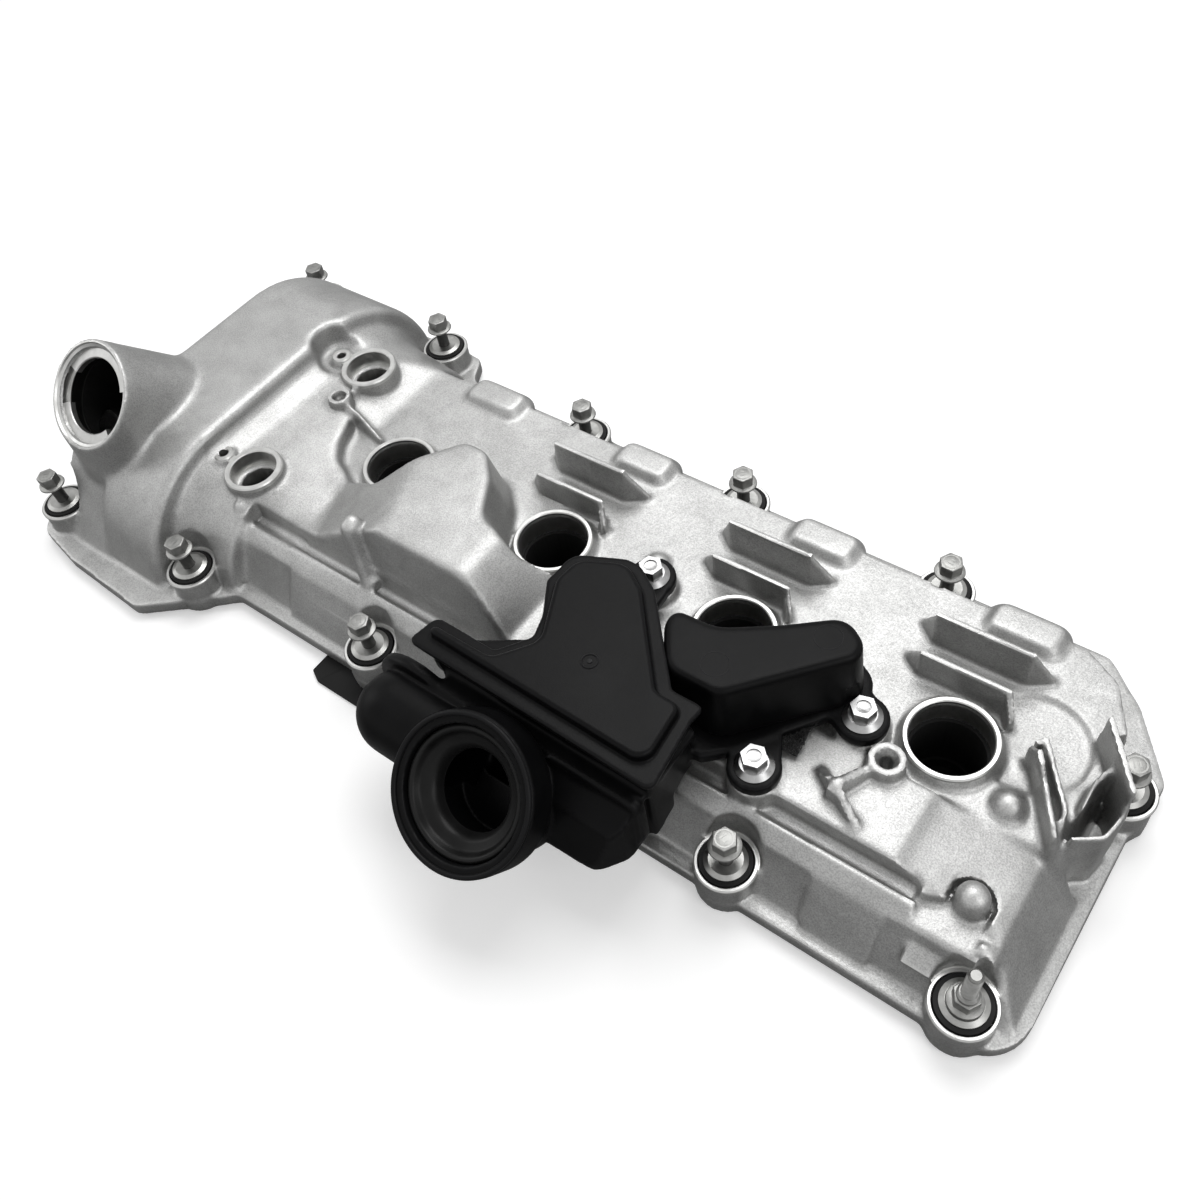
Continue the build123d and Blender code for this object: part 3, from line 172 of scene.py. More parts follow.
def below(tree, value, limit):
    node = tree.nodes.new("ShaderNodeMath")
    node.operation = "LESS_THAN"
    node.inputs[1].default_value = limit
    tree.links.new(value, node.inputs[0])
    return node.outputs[0]


def throatShade(tree, place):
    # painted shade inside the filler neck: 1 outside it, nearly 0 within; the cylinder runs on below the
    # mouth, so outer faces near the axis get it too
    reach = vectorStep(tree, "SUBTRACT", place, fillerPlace / 1000)
    along = vectorStep(tree, "DOT_PRODUCT", reach, fillerAxis, "Value")
    away = vectorStep(tree, "LENGTH", vectorStep(tree, "CROSS_PRODUCT", reach, fillerAxis), None, "Value")
    inside = times(tree, below(tree, away, throat["radius"]), below(tree, along, throat["depth"]))
    return ramp(tree, inside, 1.0, throat["shade"], 0.0, 1.0)


castLook = {"dark": (0.35, 0.35, 0.345), "light": (0.46, 0.46, 0.455), "edgeWearAndHighlight": (0.64, 0.64, 0.63),
            "roughLow": 0.40, "roughHigh": 0.54, "grain": 850.0, "grainDepth": 0.00010, "flow": 45.0,
            "flowDepth": 0.0003, "fleck": 0.72}


def castAluminium():
    material, tree, shader, place = newFinish("castAluminium")
    grainDepth = castLook["grainDepth"]
    flow = noise(tree, place, castLook["flow"], 5.0, 0.6, 0.4)
    speckle = noise(tree, place, castLook["grain"] * 1.7, 2.0, 0.5)
    grain = noise(tree, place, castLook["grain"], 4.0, 0.7)
    pits = noise(tree, place, castLook["grain"] * 2.6, 2.0, 0.6)
    skin = blend(tree, ramp(tree, flow, 0.0, 1.0), castLook["dark"], castLook["light"])
    skin = tinted(tree, skin, ramp(tree, speckle, castLook["fleck"], 1.0, 0.35, 0.62))
    # painted shade in corners, then paler edges as wear and painted highlight
    skin = tinted(tree, skin, paintedCornerShade(tree))
    skin = paintedOver(tree, skin, castLook["edgeWearAndHighlight"], wornAndHighlitEdges(tree))
    skin = tinted(tree, skin, throatShade(tree, place))
    shine = ramp(tree, grain, castLook["roughLow"], castLook["roughHigh"])
    shader.inputs["Metallic"].default_value = 1.0
    tree.links.new(skin, shader.inputs["Base Color"])
    tree.links.new(shine, shader.inputs["Roughness"])
    bumps(tree, shader, [(flow, castLook["flowDepth"]), (grain, grainDepth), (pits, grainDepth * 0.5)])
    return material


turnedLook = {"dark": (0.44, 0.44, 0.43), "light": (0.56, 0.56, 0.55), "roughLow": 0.30, "roughHigh": 0.42,
              "flow": 160.0, "fine": 1500.0, "depth": 0.00002}


def turnedAluminium():
    material, tree, shader, place = newFinish("turnedAluminium")
    flow = noise(tree, place, turnedLook["flow"], 4.0, 0.6)
    fine = noise(tree, place, turnedLook["fine"], 3.0, 0.7)
    shader.inputs["Metallic"].default_value = 1.0
    skin = blend(tree, ramp(tree, flow, 0.0, 1.0), turnedLook["dark"], turnedLook["light"])
    tree.links.new(tinted(tree, skin, throatShade(tree, place)), shader.inputs["Base Color"])
    shine = ramp(tree, fine, turnedLook["roughLow"], turnedLook["roughHigh"])
    tree.links.new(shine, shader.inputs["Roughness"])
    bumps(tree, shader, [(fine, turnedLook["depth"])])
    return material


def darkSkin(name, look):
    # moulded plastic and rubber: fine grain, faint cloudy wear, paler edges as wear and painted highlight
    material, tree, shader, place = newFinish(name)
    cloud = noise(tree, place, look["cloud"], 4.0, 0.6, 0.3)
    grain = noise(tree, place, look["grain"], 3.0, 0.6)
    skin = blend(tree, ramp(tree, cloud, 0.0, 1.0), look["dark"], look["light"])
    tree.links.new(paintedOver(tree, skin, look["edgeWearAndHighlight"], wornAndHighlitEdges(tree)), shader.inputs["Base Color"])
    shader.inputs["Specular IOR Level"].default_value = look["gloss"]
    tree.links.new(ramp(tree, cloud, look["roughLow"], look["roughHigh"]), shader.inputs["Roughness"])
    bumps(tree, shader, [(cloud, look["depth"] * 3), (grain, look["depth"])])
    return material


def platedSteel(name, look, paintedShadeBelow=None):
    # zinc plating with cloudy patches; a shank below a height may get painted shade, as under a head
    material, tree, shader, place = newFinish(name)
    cloud = noise(tree, place, look["cloud"], 5.0, 0.65, 0.5)
    fine = noise(tree, place, look["fine"], 2.0, 0.6)
    skin = blend(tree, ramp(tree, cloud, 0.0, 1.0), look["dark"], look["light"])
    if paintedShadeBelow is not None:
        # painted shade on the shank under the head
        split = tree.nodes.new("ShaderNodeSeparateXYZ")
        tree.links.new(place, split.inputs[0])
        skin = tinted(tree, skin, ramp(tree, split.outputs["Z"], 0.28, 1.0, paintedShadeBelow - 0.0004, paintedShadeBelow))
    shader.inputs["Metallic"].default_value = 1.0
    # painted shade in corners
    tree.links.new(tinted(tree, skin, paintedCornerShade(tree)), shader.inputs["Base Color"])
    tree.links.new(ramp(tree, cloud, look["roughLow"], look["roughHigh"]), shader.inputs["Roughness"])
    bumps(tree, shader, [(cloud, 0.00005), (fine, 0.00002)])
    return material


plasticLook = {"dark": (0.0020, 0.0020, 0.0022), "light": (0.0045, 0.0045, 0.0048),
               "edgeWearAndHighlight": (0.022, 0.022, 0.023), "cloud": 30.0, "grain": 2200.0, "depth": 0.00005,
               "gloss": 0.07, "roughLow": 0.28, "roughHigh": 0.40}
rubberLook = {"dark": (0.006, 0.006, 0.006), "light": (0.012, 0.012, 0.012),
              "edgeWearAndHighlight": (0.02, 0.02, 0.02), "cloud": 60.0, "grain": 1500.0, "depth": 0.00002,
              "gloss": 0.10, "roughLow": 0.48, "roughHigh": 0.62}
sealLook = {"dark": (0.005, 0.005, 0.005), "light": (0.010, 0.010, 0.010),
            "edgeWearAndHighlight": (0.02, 0.02, 0.02), "cloud": 80.0, "grain": 1800.0, "depth": 0.00001,
            "gloss": 0.12, "roughLow": 0.28, "roughHigh": 0.38}
meshLook = {"dark": (0.004, 0.004, 0.004), "light": (0.012, 0.012, 0.012),
            "edgeWearAndHighlight": (0.02, 0.02, 0.02), "cloud": 300.0, "grain": 3000.0, "depth": 0.00001,
            "gloss": 0.3, "roughLow": 0.5, "roughHigh": 0.6}
# the bolts' shanks below the flange get painted shade
boltLook = {"dark": (0.19, 0.19, 0.185), "light": (0.31, 0.31, 0.30), "cloud": 220.0, "fine": 2600.0,
            "roughLow": 0.34, "roughHigh": 0.48, "paintedShadeBelow": 0.0378}      # a shank darker than its flange
washerLook = {"dark": (0.26, 0.26, 0.25), "light": (0.38, 0.38, 0.37), "cloud": 180.0, "fine": 2600.0,
              "roughLow": 0.30, "roughHigh": 0.42}
screwLook = {"dark": (0.27, 0.27, 0.27), "light": (0.42, 0.42, 0.42), "cloud": 200.0, "fine": 2600.0,
             "roughLow": 0.26, "roughHigh": 0.38}
finishes = {
    "castAluminium": castAluminium(),
    "turnedAluminium": turnedAluminium(),
    "blackPlastic": darkSkin("blackPlastic", plasticLook),
    "blackRubber": darkSkin("blackRubber", rubberLook),
    "sealRubber": darkSkin("sealRubber", sealLook),
    "meshPlastic": darkSkin("meshPlastic", meshLook),
    "boltZinc": platedSteel("boltZinc", boltLook, boltLook["paintedShadeBelow"]),
    "studZinc": platedSteel("studZinc", boltLook),
    "washerZinc": platedSteel("washerZinc", washerLook),
    "brightZinc": platedSteel("brightZinc", screwLook),
}
finishOfNode = {
    "cover_casting": "castAluminium",
    "perimeter_gasket": "blackRubber",
    "plug_tube_seal": "blackRubber",
    "cover_bolt": "boltZinc",
    "stud_bolt": "studZinc",
    "bolt_washer": "washerZinc",
    "bolt_grommet": "blackRubber",
    "breather_body": "blackPlastic",
    "breather_main_lid": "blackPlastic",
    "breather_rear_cover": "blackPlastic",
    "breather_port_seal": "blackRubber",
    "breather_vent_gasket": "blackRubber",
    "breather_sleeve": "brightZinc",
    "breather_screw": "brightZinc",
    "separator_mesh": "meshPlastic",
}
for nodeName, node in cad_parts.items():
    for prefix, finish in finishOfNode.items():
        if nodeName.startswith(prefix):
            node.data.materials.clear()
            node.data.materials.append(finishes[finish])
print("finishes given")
upright = (0, 0, 1)


def meshPiece(name, vertices, faces, finish=None):
    # closed mesh object from points in millimetres
    mesh = bpy.data.meshes.new(name)
    mesh.from_pydata([(x / 1000, y / 1000, z / 1000) for x, y, z in vertices], [], faces)
    mesh.validate()
    work = bmesh.new()
    work.from_mesh(mesh)
    bmesh.ops.remove_doubles(work, verts=work.verts, dist=1e-7)
    bmesh.ops.recalc_face_normals(work, faces=work.faces)
    work.to_mesh(mesh)
    work.free()
    piece = bpy.data.objects.new(name, mesh)
    scene.collection.objects.link(piece)
    if finish:
        mesh.materials.append(finishes[finish])
    return piece


def axisFrame(axis):
    # an axis and two directions square to it
    along = Vector(axis).normalized()
    side = along.orthogonal().normalized()
    return along, side, along.cross(side)


def circle(centre, side, other, radius, steps):
    angles = [2 * math.pi * k / steps for k in range(steps)]
    return [centre + (side * math.cos(angle) + other * math.sin(angle)) * radius for angle in angles]


def lathe(name, profile, place, axis=upright, steps=96, finish=None):
    # turned closed shape: (radius, height) from foot to head, with both ends on the axis
    along, side, other = axisFrame(axis)
    centre = Vector(place)
    vertices, faces, rings = [], [], []
    for radius, height in profile:
        if radius < 1e-6:
            vertices.append(centre + along * height)
            rings.append([len(vertices) - 1])
            continue
        rings.append(list(range(len(vertices), len(vertices) + steps)))
        vertices += circle(centre + along * height, side, other, radius, steps)
    for low, high in zip(rings, rings[1:]):
        for k in range(steps):
            n = (k + 1) % steps
            if len(low) == 1 and len(high) > 1:
                faces.append((low[0], high[n], high[k]))
            elif len(high) == 1 and len(low) > 1:
                faces.append((low[k], low[n], high[0]))
            elif len(low) > 1:
                faces.append((low[k], low[n], high[n], high[k]))
    return meshPiece(name, vertices, faces, finish)


def roundEnd(point, outward, direction, radius, order):
    # rings of a rod's domed end, each a centre, a direction and a radius
    angles = [math.pi / 2 * k / 4 for k in order]
    return [(point + outward * radius * math.cos(angle), direction, radius * math.sin(angle))
            for angle in angles]


def taperedRod(name, stops, steps=20):
    # rod through (x, y, z, radius) stops, with domed ends
    faces, rings = [], []
    points = [Vector(stop[:3]) for stop in stops]
    directions = []
    for i in range(len(points)):
        ahead = points[min(i + 1, len(points) - 1)] - points[max(i - 1, 0)]
        directions.append(ahead.normalized())
    side = directions[0].orthogonal().normalized()
    radii = [stop[3] for stop in stops]
    stations = roundEnd(points[0], -directions[0], directions[0], radii[0], (1, 2, 3))
    stations += list(zip(points, directions, radii))
    stations += roundEnd(points[-1], directions[-1], directions[-1], radii[-1], (3, 2, 1))
    vertices = [points[0] - directions[0] * radii[0]]
    for centre, direction, radius in stations:
        side = (side - direction * side.dot(direction)).normalized()
        rings.append(list(range(len(vertices), len(vertices) + steps)))
        vertices += circle(centre, side, direction.cross(side), radius, steps)
    vertices.append(points[-1] + directions[-1] * radii[-1])
    for k in range(steps):
        n = (k + 1) % steps
        faces.append((0, rings[0][n], rings[0][k]))
        faces.append((len(vertices) - 1, rings[-1][k], rings[-1][n]))
        for low, high in zip(rings, rings[1:]):
            faces.append((low[k], low[n], high[n], high[k]))
    return meshPiece(name, vertices, faces)


def looseCopy(nodeName, name):
    # copy of a CAD node's mesh with its points merged, free to be reshaped
    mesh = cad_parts[nodeName].data.copy()
    mesh.name = name
    work = bmesh.new()
    work.from_mesh(mesh)
    bmesh.ops.remove_doubles(work, verts=work.verts, dist=1e-6)
    work.to_mesh(mesh)
    work.free()
    piece = bpy.data.objects.new(name, mesh)
    scene.collection.objects.link(piece)
    return piece


def takeResult(piece):
    # keeps what the modifiers make, as a plain mesh
    solved = piece.evaluated_get(bpy.context.evaluated_depsgraph_get())
    mesh = bpy.data.meshes.new_from_object(solved)
    piece.modifiers.clear()
    old = piece.data
    piece.data = mesh
    bpy.data.meshes.remove(old)


def joinMeshes(piece, extras):
    work = bmesh.new()
    work.from_mesh(piece.data)
    for extra in extras:
        work.from_mesh(extra.data)
        bpy.data.objects.remove(extra)
    work.to_mesh(piece.data)
    work.free()


def joinShaped(piece, extras):
    # joins closed pieces to a finished mesh and keeps their finishes
    slots = piece.data.materials
    work = bmesh.new()
    work.from_mesh(piece.data)
    for extra in extras:
        finish = [given for given in extra.data.materials if given][-1]
        if finish.name not in [slot.name for slot in slots]:
            slots.append(finish)
        index = [slot.name for slot in slots].index(finish.name)
        start = len(work.faces)
        work.from_mesh(extra.data)
        work.faces.ensure_lookup_table()
        for face in work.faces[start:]:
            face.material_index = index
        bpy.data.objects.remove(extra)
    work.to_mesh(piece.data)
    work.free()


def softened(piece, voxel, rounds):
    # one skin over everything in the mesh, with edges rounded as a casting's are;
    # rounds is a number, or a function that gives each point its own
    skin = piece.modifiers.new("skin", "REMESH")
    skin.mode = "VOXEL"
    skin.voxel_size = voxel
    takeResult(piece)
    mesh = piece.data
    count = len(mesh.vertices)
    places = np.empty(count * 3)
    mesh.vertices.foreach_get("co", places)
    places = places.reshape(-1, 3)
    edges = np.empty(len(mesh.edges) * 2, np.int32)
    mesh.edges.foreach_get("vertices", edges)
    edges = edges.reshape(-1, 2)
    here = np.concatenate([edges[:, 0], edges[:, 1]])
    there = np.concatenate([edges[:, 1], edges[:, 0]])
    degree = np.bincount(here, minlength=count)[:, None]
    rate = rounds(places * 1000) if callable(rounds) else np.full(count, float(rounds))
    for step in range(int(rate.max())):
        sums = [np.bincount(here, weights=places[there, k], minlength=count) for k in range(3)]
        active = np.clip(rate - step, 0, 1)[:, None] * 0.5      # half way to the neighbours' mean
        places += active * (np.stack(sums, 1) / degree - places)
    mesh.vertices.foreach_set("co", places.ravel())
    mesh.update()


def thinned(piece, triangles):
    piece.data.calc_loop_triangles()
    now = len(piece.data.loop_triangles)
    if now > triangles:
        thin = piece.modifiers.new("thin", "DECIMATE")
        thin.ratio = triangles / now
        takeResult(piece)


def machined(piece, cutters):
    # cuts crisp faces and bores, which take the cutter's finish
    work = bmesh.new()
    for cutter in cutters:
        work.from_mesh(cutter.data)
    first = cutters[0]
    work.to_mesh(first.data)
    work.free()
    cut = piece.modifiers.new("cut", "BOOLEAN")
    cut.operation = "DIFFERENCE"
    cut.solver = "EXACT"
    cut.use_self = True
    cut.material_mode = "TRANSFER"
    cut.object = first
    takeResult(piece)
    for cutter in cutters:
        bpy.data.objects.remove(cutter)


def shaded(piece, angle=32.0):
    piece.data.shade_smooth()
    piece.data.set_sharp_from_angle(angle=math.radians(angle))


def turnedRing(name, profile, place, axis=upright, steps=96, finish=None, first=0.0, last=360.0):
    # a closed (radius, height) outline swept round an axis, all the way or over an arc
    along = Vector(axis).normalized()
    side = Vector((1, 0, 0))
    other = along.cross(side)
    centre = Vector(place)
    whole = abs(last - first - 360.0) < 1e-6
    stations = steps if whole else steps + 1
    count = len(profile)
    vertices, faces = [], []
    for k in range(stations):
        angle = math.radians(first + (last - first) * k / steps)
        out = side * math.cos(angle) + other * math.sin(angle)
        for radius, height in profile:
            vertices.append(centre + along * height + out * radius)
    for k in range(steps):
        here, there = k * count, ((k + 1) % stations) * count
        for j in range(count):
            n = (j + 1) % count
            faces.append((here + j, here + n, there + n, there + j))
    if not whole:
        faces.append(tuple(range(count)))
        faces.append(tuple(range((stations - 1) * count, stations * count))[::-1])
    return meshPiece(name, vertices, faces, finish)


def roundProfile(radius, height, size, steps=10):
    # outline of a round bead
    angles = [2 * math.pi * k / steps for k in range(steps)]
    return [(radius + size * math.cos(angle), height + size * math.sin(angle)) for angle in angles]


def uprightPrism(name, corners, low, topOf, finish=None):
    # closed prism on corners in plan; the top height is a function of x and y
    count = len(corners)
    vertices = [(x, y, low) for x, y in corners] + [(x, y, topOf(x, y)) for x, y in corners]
    faces = [tuple(range(count))[::-1], tuple(range(count, 2 * count))]
    faces += [(k, (k + 1) % count, (k + 1) % count + count, k + count) for k in range(count)]
    return meshPiece(name, vertices, faces, finish)


def bevelled(piece, width, angle=34.0, segments=2):
    edge = piece.modifiers.new("edge", "BEVEL")
    edge.limit_method = "ANGLE"
    edge.angle_limit = math.radians(angle)
    edge.width = width / 1000
    edge.segments = segments
    takeResult(piece)


def nodeGroup(name, sockets):
    group = bpy.data.node_groups.new(name, "GeometryNodeTree")
    group.interface.new_socket(name="Geometry", in_out="INPUT", socket_type="NodeSocketGeometry")
    for label, kind in sockets:
        group.interface.new_socket(name=label, in_out="INPUT", socket_type=kind)
    group.interface.new_socket(name="Geometry", in_out="OUTPUT", socket_type="NodeSocketGeometry")
    return group, group.nodes.new("NodeGroupInput"), group.nodes.new("NodeGroupOutput")


def grown(name, group, values):
    # what a node group makes from its named inputs, as a plain mesh
    piece = bpy.data.objects.new(name, bpy.data.meshes.new(name))
    scene.collection.objects.link(piece)
    nodes = piece.modifiers.new("grow", "NODES")
    nodes.node_group = group
    for item in group.interface.items_tree:
        if item.item_type == "SOCKET" and item.in_out == "INPUT" and item.name in values:
            nodes[item.identifier] = values[item.name]
    takeResult(piece)
    return piece


def threadGroup():
    # a stack of toothed rings, close enough to a fine thread
    group, given, made = nodeGroup("threadStack", [
        ("Turns", "NodeSocketInt"), ("Pitch", "NodeSocketVector"), ("Start", "NodeSocketVector"),
        ("Radius", "NodeSocketFloat"), ("Tooth", "NodeSocketFloat"), ("Finish", "NodeSocketMaterial")])
    link = group.links.new
    row = group.nodes.new("GeometryNodeMeshLine")
    link(given.outputs["Turns"], row.inputs["Count"])
    link(given.outputs["Start"], row.inputs["Start Location"])
    link(given.outputs["Pitch"], row.inputs["Offset"])
    loop = group.nodes.new("GeometryNodeCurvePrimitiveCircle")
    loop.inputs["Resolution"].default_value = 32
    link(given.outputs["Radius"], loop.inputs["Radius"])
    tooth = group.nodes.new("GeometryNodeCurvePrimitiveCircle")
    tooth.inputs["Resolution"].default_value = 4
    link(given.outputs["Tooth"], tooth.inputs["Radius"])
    turn = group.nodes.new("GeometryNodeCurveToMesh")
    link(loop.outputs["Curve"], turn.inputs["Curve"])
    link(tooth.outputs["Curve"], turn.inputs["Profile Curve"])
    copies = group.nodes.new("GeometryNodeInstanceOnPoints")
    link(row.outputs["Mesh"], copies.inputs["Points"])
    link(turn.outputs["Mesh"], copies.inputs["Instance"])
    real = group.nodes.new("GeometryNodeRealizeInstances")
    link(copies.outputs["Instances"], real.inputs["Geometry"])
    dress = group.nodes.new("GeometryNodeSetMaterial")
    link(real.outputs["Geometry"], dress.inputs["Geometry"])
    link(given.outputs["Finish"], dress.inputs["Material"])
    link(dress.outputs["Geometry"], made.inputs["Geometry"])
    return group


def netGroup():
    # crumpled layers of square mesh, with every edge made a wire
    group, given, made = nodeGroup("wireNet", [
        ("Width", "NodeSocketFloat"), ("Depth", "NodeSocketFloat"), ("Across", "NodeSocketInt"),
        ("Along", "NodeSocketInt"), ("Wire", "NodeSocketFloat"), ("Crumple", "NodeSocketFloat"),
        ("Scale", "NodeSocketFloat"), ("Layers", "NodeSocketInt"), ("Lift", "NodeSocketVector"),
        ("Place", "NodeSocketVector"), ("Finish", "NodeSocketMaterial")])
    link = group.links.new
    sheet = group.nodes.new("GeometryNodeMeshGrid")
    for label, socket in (("Width", "Size X"), ("Depth", "Size Y"), ("Across", "Vertices X"),
                          ("Along", "Vertices Y")):
        link(given.outputs[label], sheet.inputs[socket])
    stack = group.nodes.new("GeometryNodeMeshLine")
    link(given.outputs["Layers"], stack.inputs["Count"])
    link(given.outputs["Place"], stack.inputs["Start Location"])
    link(given.outputs["Lift"], stack.inputs["Offset"])
    copies = group.nodes.new("GeometryNodeInstanceOnPoints")
    link(stack.outputs["Mesh"], copies.inputs["Points"])
    link(sheet.outputs["Mesh"], copies.inputs["Instance"])
    real = group.nodes.new("GeometryNodeRealizeInstances")
    link(copies.outputs["Instances"], real.inputs["Geometry"])
    wave = group.nodes.new("ShaderNodeTexNoise")
    wave.inputs["Detail"].default_value = 3.0
    link(given.outputs["Scale"], wave.inputs["Scale"])
    centred = group.nodes.new("ShaderNodeVectorMath")
    centred.operation = "SUBTRACT"
    centred.inputs[1].default_value = (0.5, 0.5, 0.35)
    link(wave.outputs["Color"], centred.inputs[0])
    sized = group.nodes.new("ShaderNodeVectorMath")
    sized.operation = "SCALE"
    link(centred.outputs[0], sized.inputs[0])
    link(given.outputs["Crumple"], sized.inputs["Scale"])
    moved = group.nodes.new("GeometryNodeSetPosition")
    link(real.outputs["Geometry"], moved.inputs["Geometry"])
    link(sized.outputs[0], moved.inputs["Offset"])
    wires = group.nodes.new("GeometryNodeMeshToCurve")
    link(moved.outputs["Geometry"], wires.inputs["Mesh"])
    gauge = group.nodes.new("GeometryNodeCurvePrimitiveCircle")
    gauge.inputs["Resolution"].default_value = 4
    link(given.outputs["Wire"], gauge.inputs["Radius"])
    tube = group.nodes.new("GeometryNodeCurveToMesh")
    tube.inputs["Fill Caps"].default_value = True
    link(wires.outputs["Curve"], tube.inputs["Curve"])
    link(gauge.outputs["Curve"], tube.inputs["Profile Curve"])
    dress = group.nodes.new("GeometryNodeSetMaterial")
    link(tube.outputs["Mesh"], dress.inputs["Geometry"])
    link(given.outputs["Finish"], dress.inputs["Material"])
    link(dress.outputs["Geometry"], made.inputs["Geometry"])
    return group


# the casting: places in millimetres, the voxel size in metres, and smoothing rounds
coverShape = {"voxel": 0.0011, "triangles": 165000, "rounding": 5, "deepRounding": 26, "endRounding": 14,
              "sharpRounding": 2, "webRounding": 3}
wellPlaces = [(0.0, 0.0), (105.5, 0.0), (211.0, 0.0), (316.5, 0.0)]
valvePlaces = [(-60.5, -48.5), (-60.5, 43.0)]
valveScrews = [(-83.0, -49.2), (-80.5, 41.6)]
boltPlaces = [(-181.0, -108.0), (-73.5, -101.7), (50.6, -87.2), (156.1, -87.2), (260.8, -87.2),
              (382.6, 30.0), (275.0, 88.0), (161.0, 88.0), (56.8, 88.0), (-67.3, 106.0), (-176.5, 106.3),
              (366.8, -87.0)]      # the last is the stud's
ballPlace = (353.0, -56.5)
# parts of the casting with their own rounding: x, y and z from and to, and the later ones win
far = 1000.0
broadZones = [((-far, -18), (-far, far), (12, far), "deepRounding"),       # the timing end
              ((-25, 140), (-64, 24), (44, far), "deepRounding"),          # the raised bay
              ((330, far), (-far, 10), (12, 60), "endRounding")]           # the stud's end
crispZones = [((18, 42), (-70, -49), (39, far), "webRounding"),            # the leaning rod
              ((60, far), (18, 54), (46, far), "sharpRounding"),           # the fins
              ((275, 308), (-60, -28), (50, far), "sharpRounding"),        # the arrow-shaped web
              ((290, 360), (-far, -66), (-far, 41), "webRounding"),        # ledge panel and pad
              ((-30, 60), (-far, -74), (-far, 41), "webRounding")]         # the ledge's bulge
crispRounds = [(wellPlaces, 24.5), (valvePlaces, 17.5), (valveScrews, 8.0), (boltPlaces, 15.0),
               ([(-57.5, 16.0)], 7.0), ([(300.2, -26.0)], 10.0), ([ballPlace], 12.0),
               ([(-56.0, -66.0)], 7.0)]


def roundZones(points, rate, zones):
    for *spans, kind in zones:
        inside = np.ones(len(points), bool)
        for values, (low, high) in zip(points.T, spans):
            inside &= (values > low) & (values < high)
        rate[inside] = coverShape[kind]


def coverRounding(points):
    # how many smoothing rounds each point of the casting gets
    x, y, z = points.T
    rate = np.full(len(points), float(coverShape["rounding"]))
    roundZones(points, rate, broadZones)
    alongNeck = (points - np.array(fillerPlace)) @ np.array(fillerAxis)
    rate[(alongNeck > -10) & (x < -110) & (z > 60)] = coverShape["sharpRounding"]
    for places, reach in crispRounds:
        for placeX, placeY in places:
            rate[np.hypot(x - placeX, y - placeY) < reach] = coverShape["sharpRounding"]
    rate[z < 9] = coverShape["sharpRounding"]       # the flange
    roundZones(points, rate, crispZones)
    return rate


cover = looseCopy("cover_casting", "castCover")
pocketFill = [(335.0, -66.0), (335.0, -53.5), (349.0, -44.0), (364.0, -48.0), (364.0, -60.0)]
for k in range(13):
    angle = math.radians(-20.0 + 230.0 * k / 12)
    pocketFill.append((ballPlace[0] + 9.4 * math.cos(angle), ballPlace[1] + 9.4 * math.sin(angle)))
ledgeFill = [(334.0, -76.0), (365.0, -76.0), (365.0, -58.0), (334.0, -58.0)]
rodBall = [(0, -5.4), (2.7, -4.7), (4.7, -2.7), (5.4, 0), (4.7, 2.7), (2.7, 4.7), (0, 5.4)]
extras = [uprightPrism("pocketFill", pocketFill, 33.0, lambda x, y: 49.0 - (x - 312.0) * 9.0 / 56.0),
          uprightPrism("ledgeFill", ledgeFill, 30.0, lambda x, y: 38.2)]
for place, top in zip(valveScrews, (60.2, 59.6)):
    boss = [(0, 44.0), (8.2, 44.0), (6.6, 52.0), (6.2, top), (0, top)]
    extras.append(lathe("screwBoss", boss, (*place, 0)))
rodStops = [(26.0, -57.0, 70.0, 4.7), (30.0, -60.0, 56.0, 4.7), (34.5, -63.2, 44.5, 4.7)]
extras.append(taperedRod("rod", rodStops))
extras.append(lathe("rodBall", rodBall, (36.5, -64.0, 41.5), steps=32))
joinMeshes(cover, extras)
softened(cover, coverShape["voxel"], coverRounding)
thinned(cover, coverShape["triangles"])
cover.data.materials.clear()
cover.data.materials.append(finishes["castAluminium"])

# bores and turned faces: places, axis, steps and the (radius, height) outline that is cut away
turnedCuts = {
    "wellCut": (wellPlaces, upright, 96, [
        (0, 36.0), (17.6, 36.0), (17.6, 49.4), (18.1, 49.9), (19.6, 49.9), (19.6, 53.0), (0, 53.0)]),
    "valveCut": (valvePlaces, upright, 96, [
        (0, 38.0), (9.4, 38.0), (9.4, 50.5), (12.6, 50.5), (12.6, 58.7), (13.3, 59.4), (17.0, 59.4),
        (17.0, 64.0), (0, 64.0)]),
    "mouthCut": ([fillerPlace], fillerAxis, 128, [
        (0, -14.0), (24.0, -14.0), (24.0, -7.0), (25.6, -6.6), (25.6, -2.2), (27.6, -1.2), (28.2, -0.2),
        (34.0, -0.2), (34.0, 4.0), (0, 4.0)]),
    "screwCut": (valveScrews, upright, 32, [(0, 46.0), (2.6, 46.0), (2.6, 66.0), (0, 66.0)]),
    "cupCut": (boltPlaces, upright, 96, [
        (0, 13.0), (11.8, 13.0), (11.8, 22.8), (12.2, 23.2), (14.2, 23.2), (14.2, 30.0), (0, 30.0)]),
}
cutters = [lathe(name, outline, Vector(place).to_3d(), axis, steps, "turnedAluminium")
           for name, (places, axis, steps, outline) in turnedCuts.items() for place in places]
machined(cover, cutters)
# the filler's two locking shelves, with the notches between them
shelf = {"outline": [(20.5, -7.4), (26.0, -7.4), (26.0, -3.9), (21.0, -3.9), (20.5, -4.4)],
         "arcs": [(24.0, 160.0), (208.0, 320.0)]}
lugs = [turnedRing("shelf", shelf["outline"], fillerPlace, fillerAxis, 48, "turnedAluminium", low, high)
        for low, high in shelf["arcs"]]
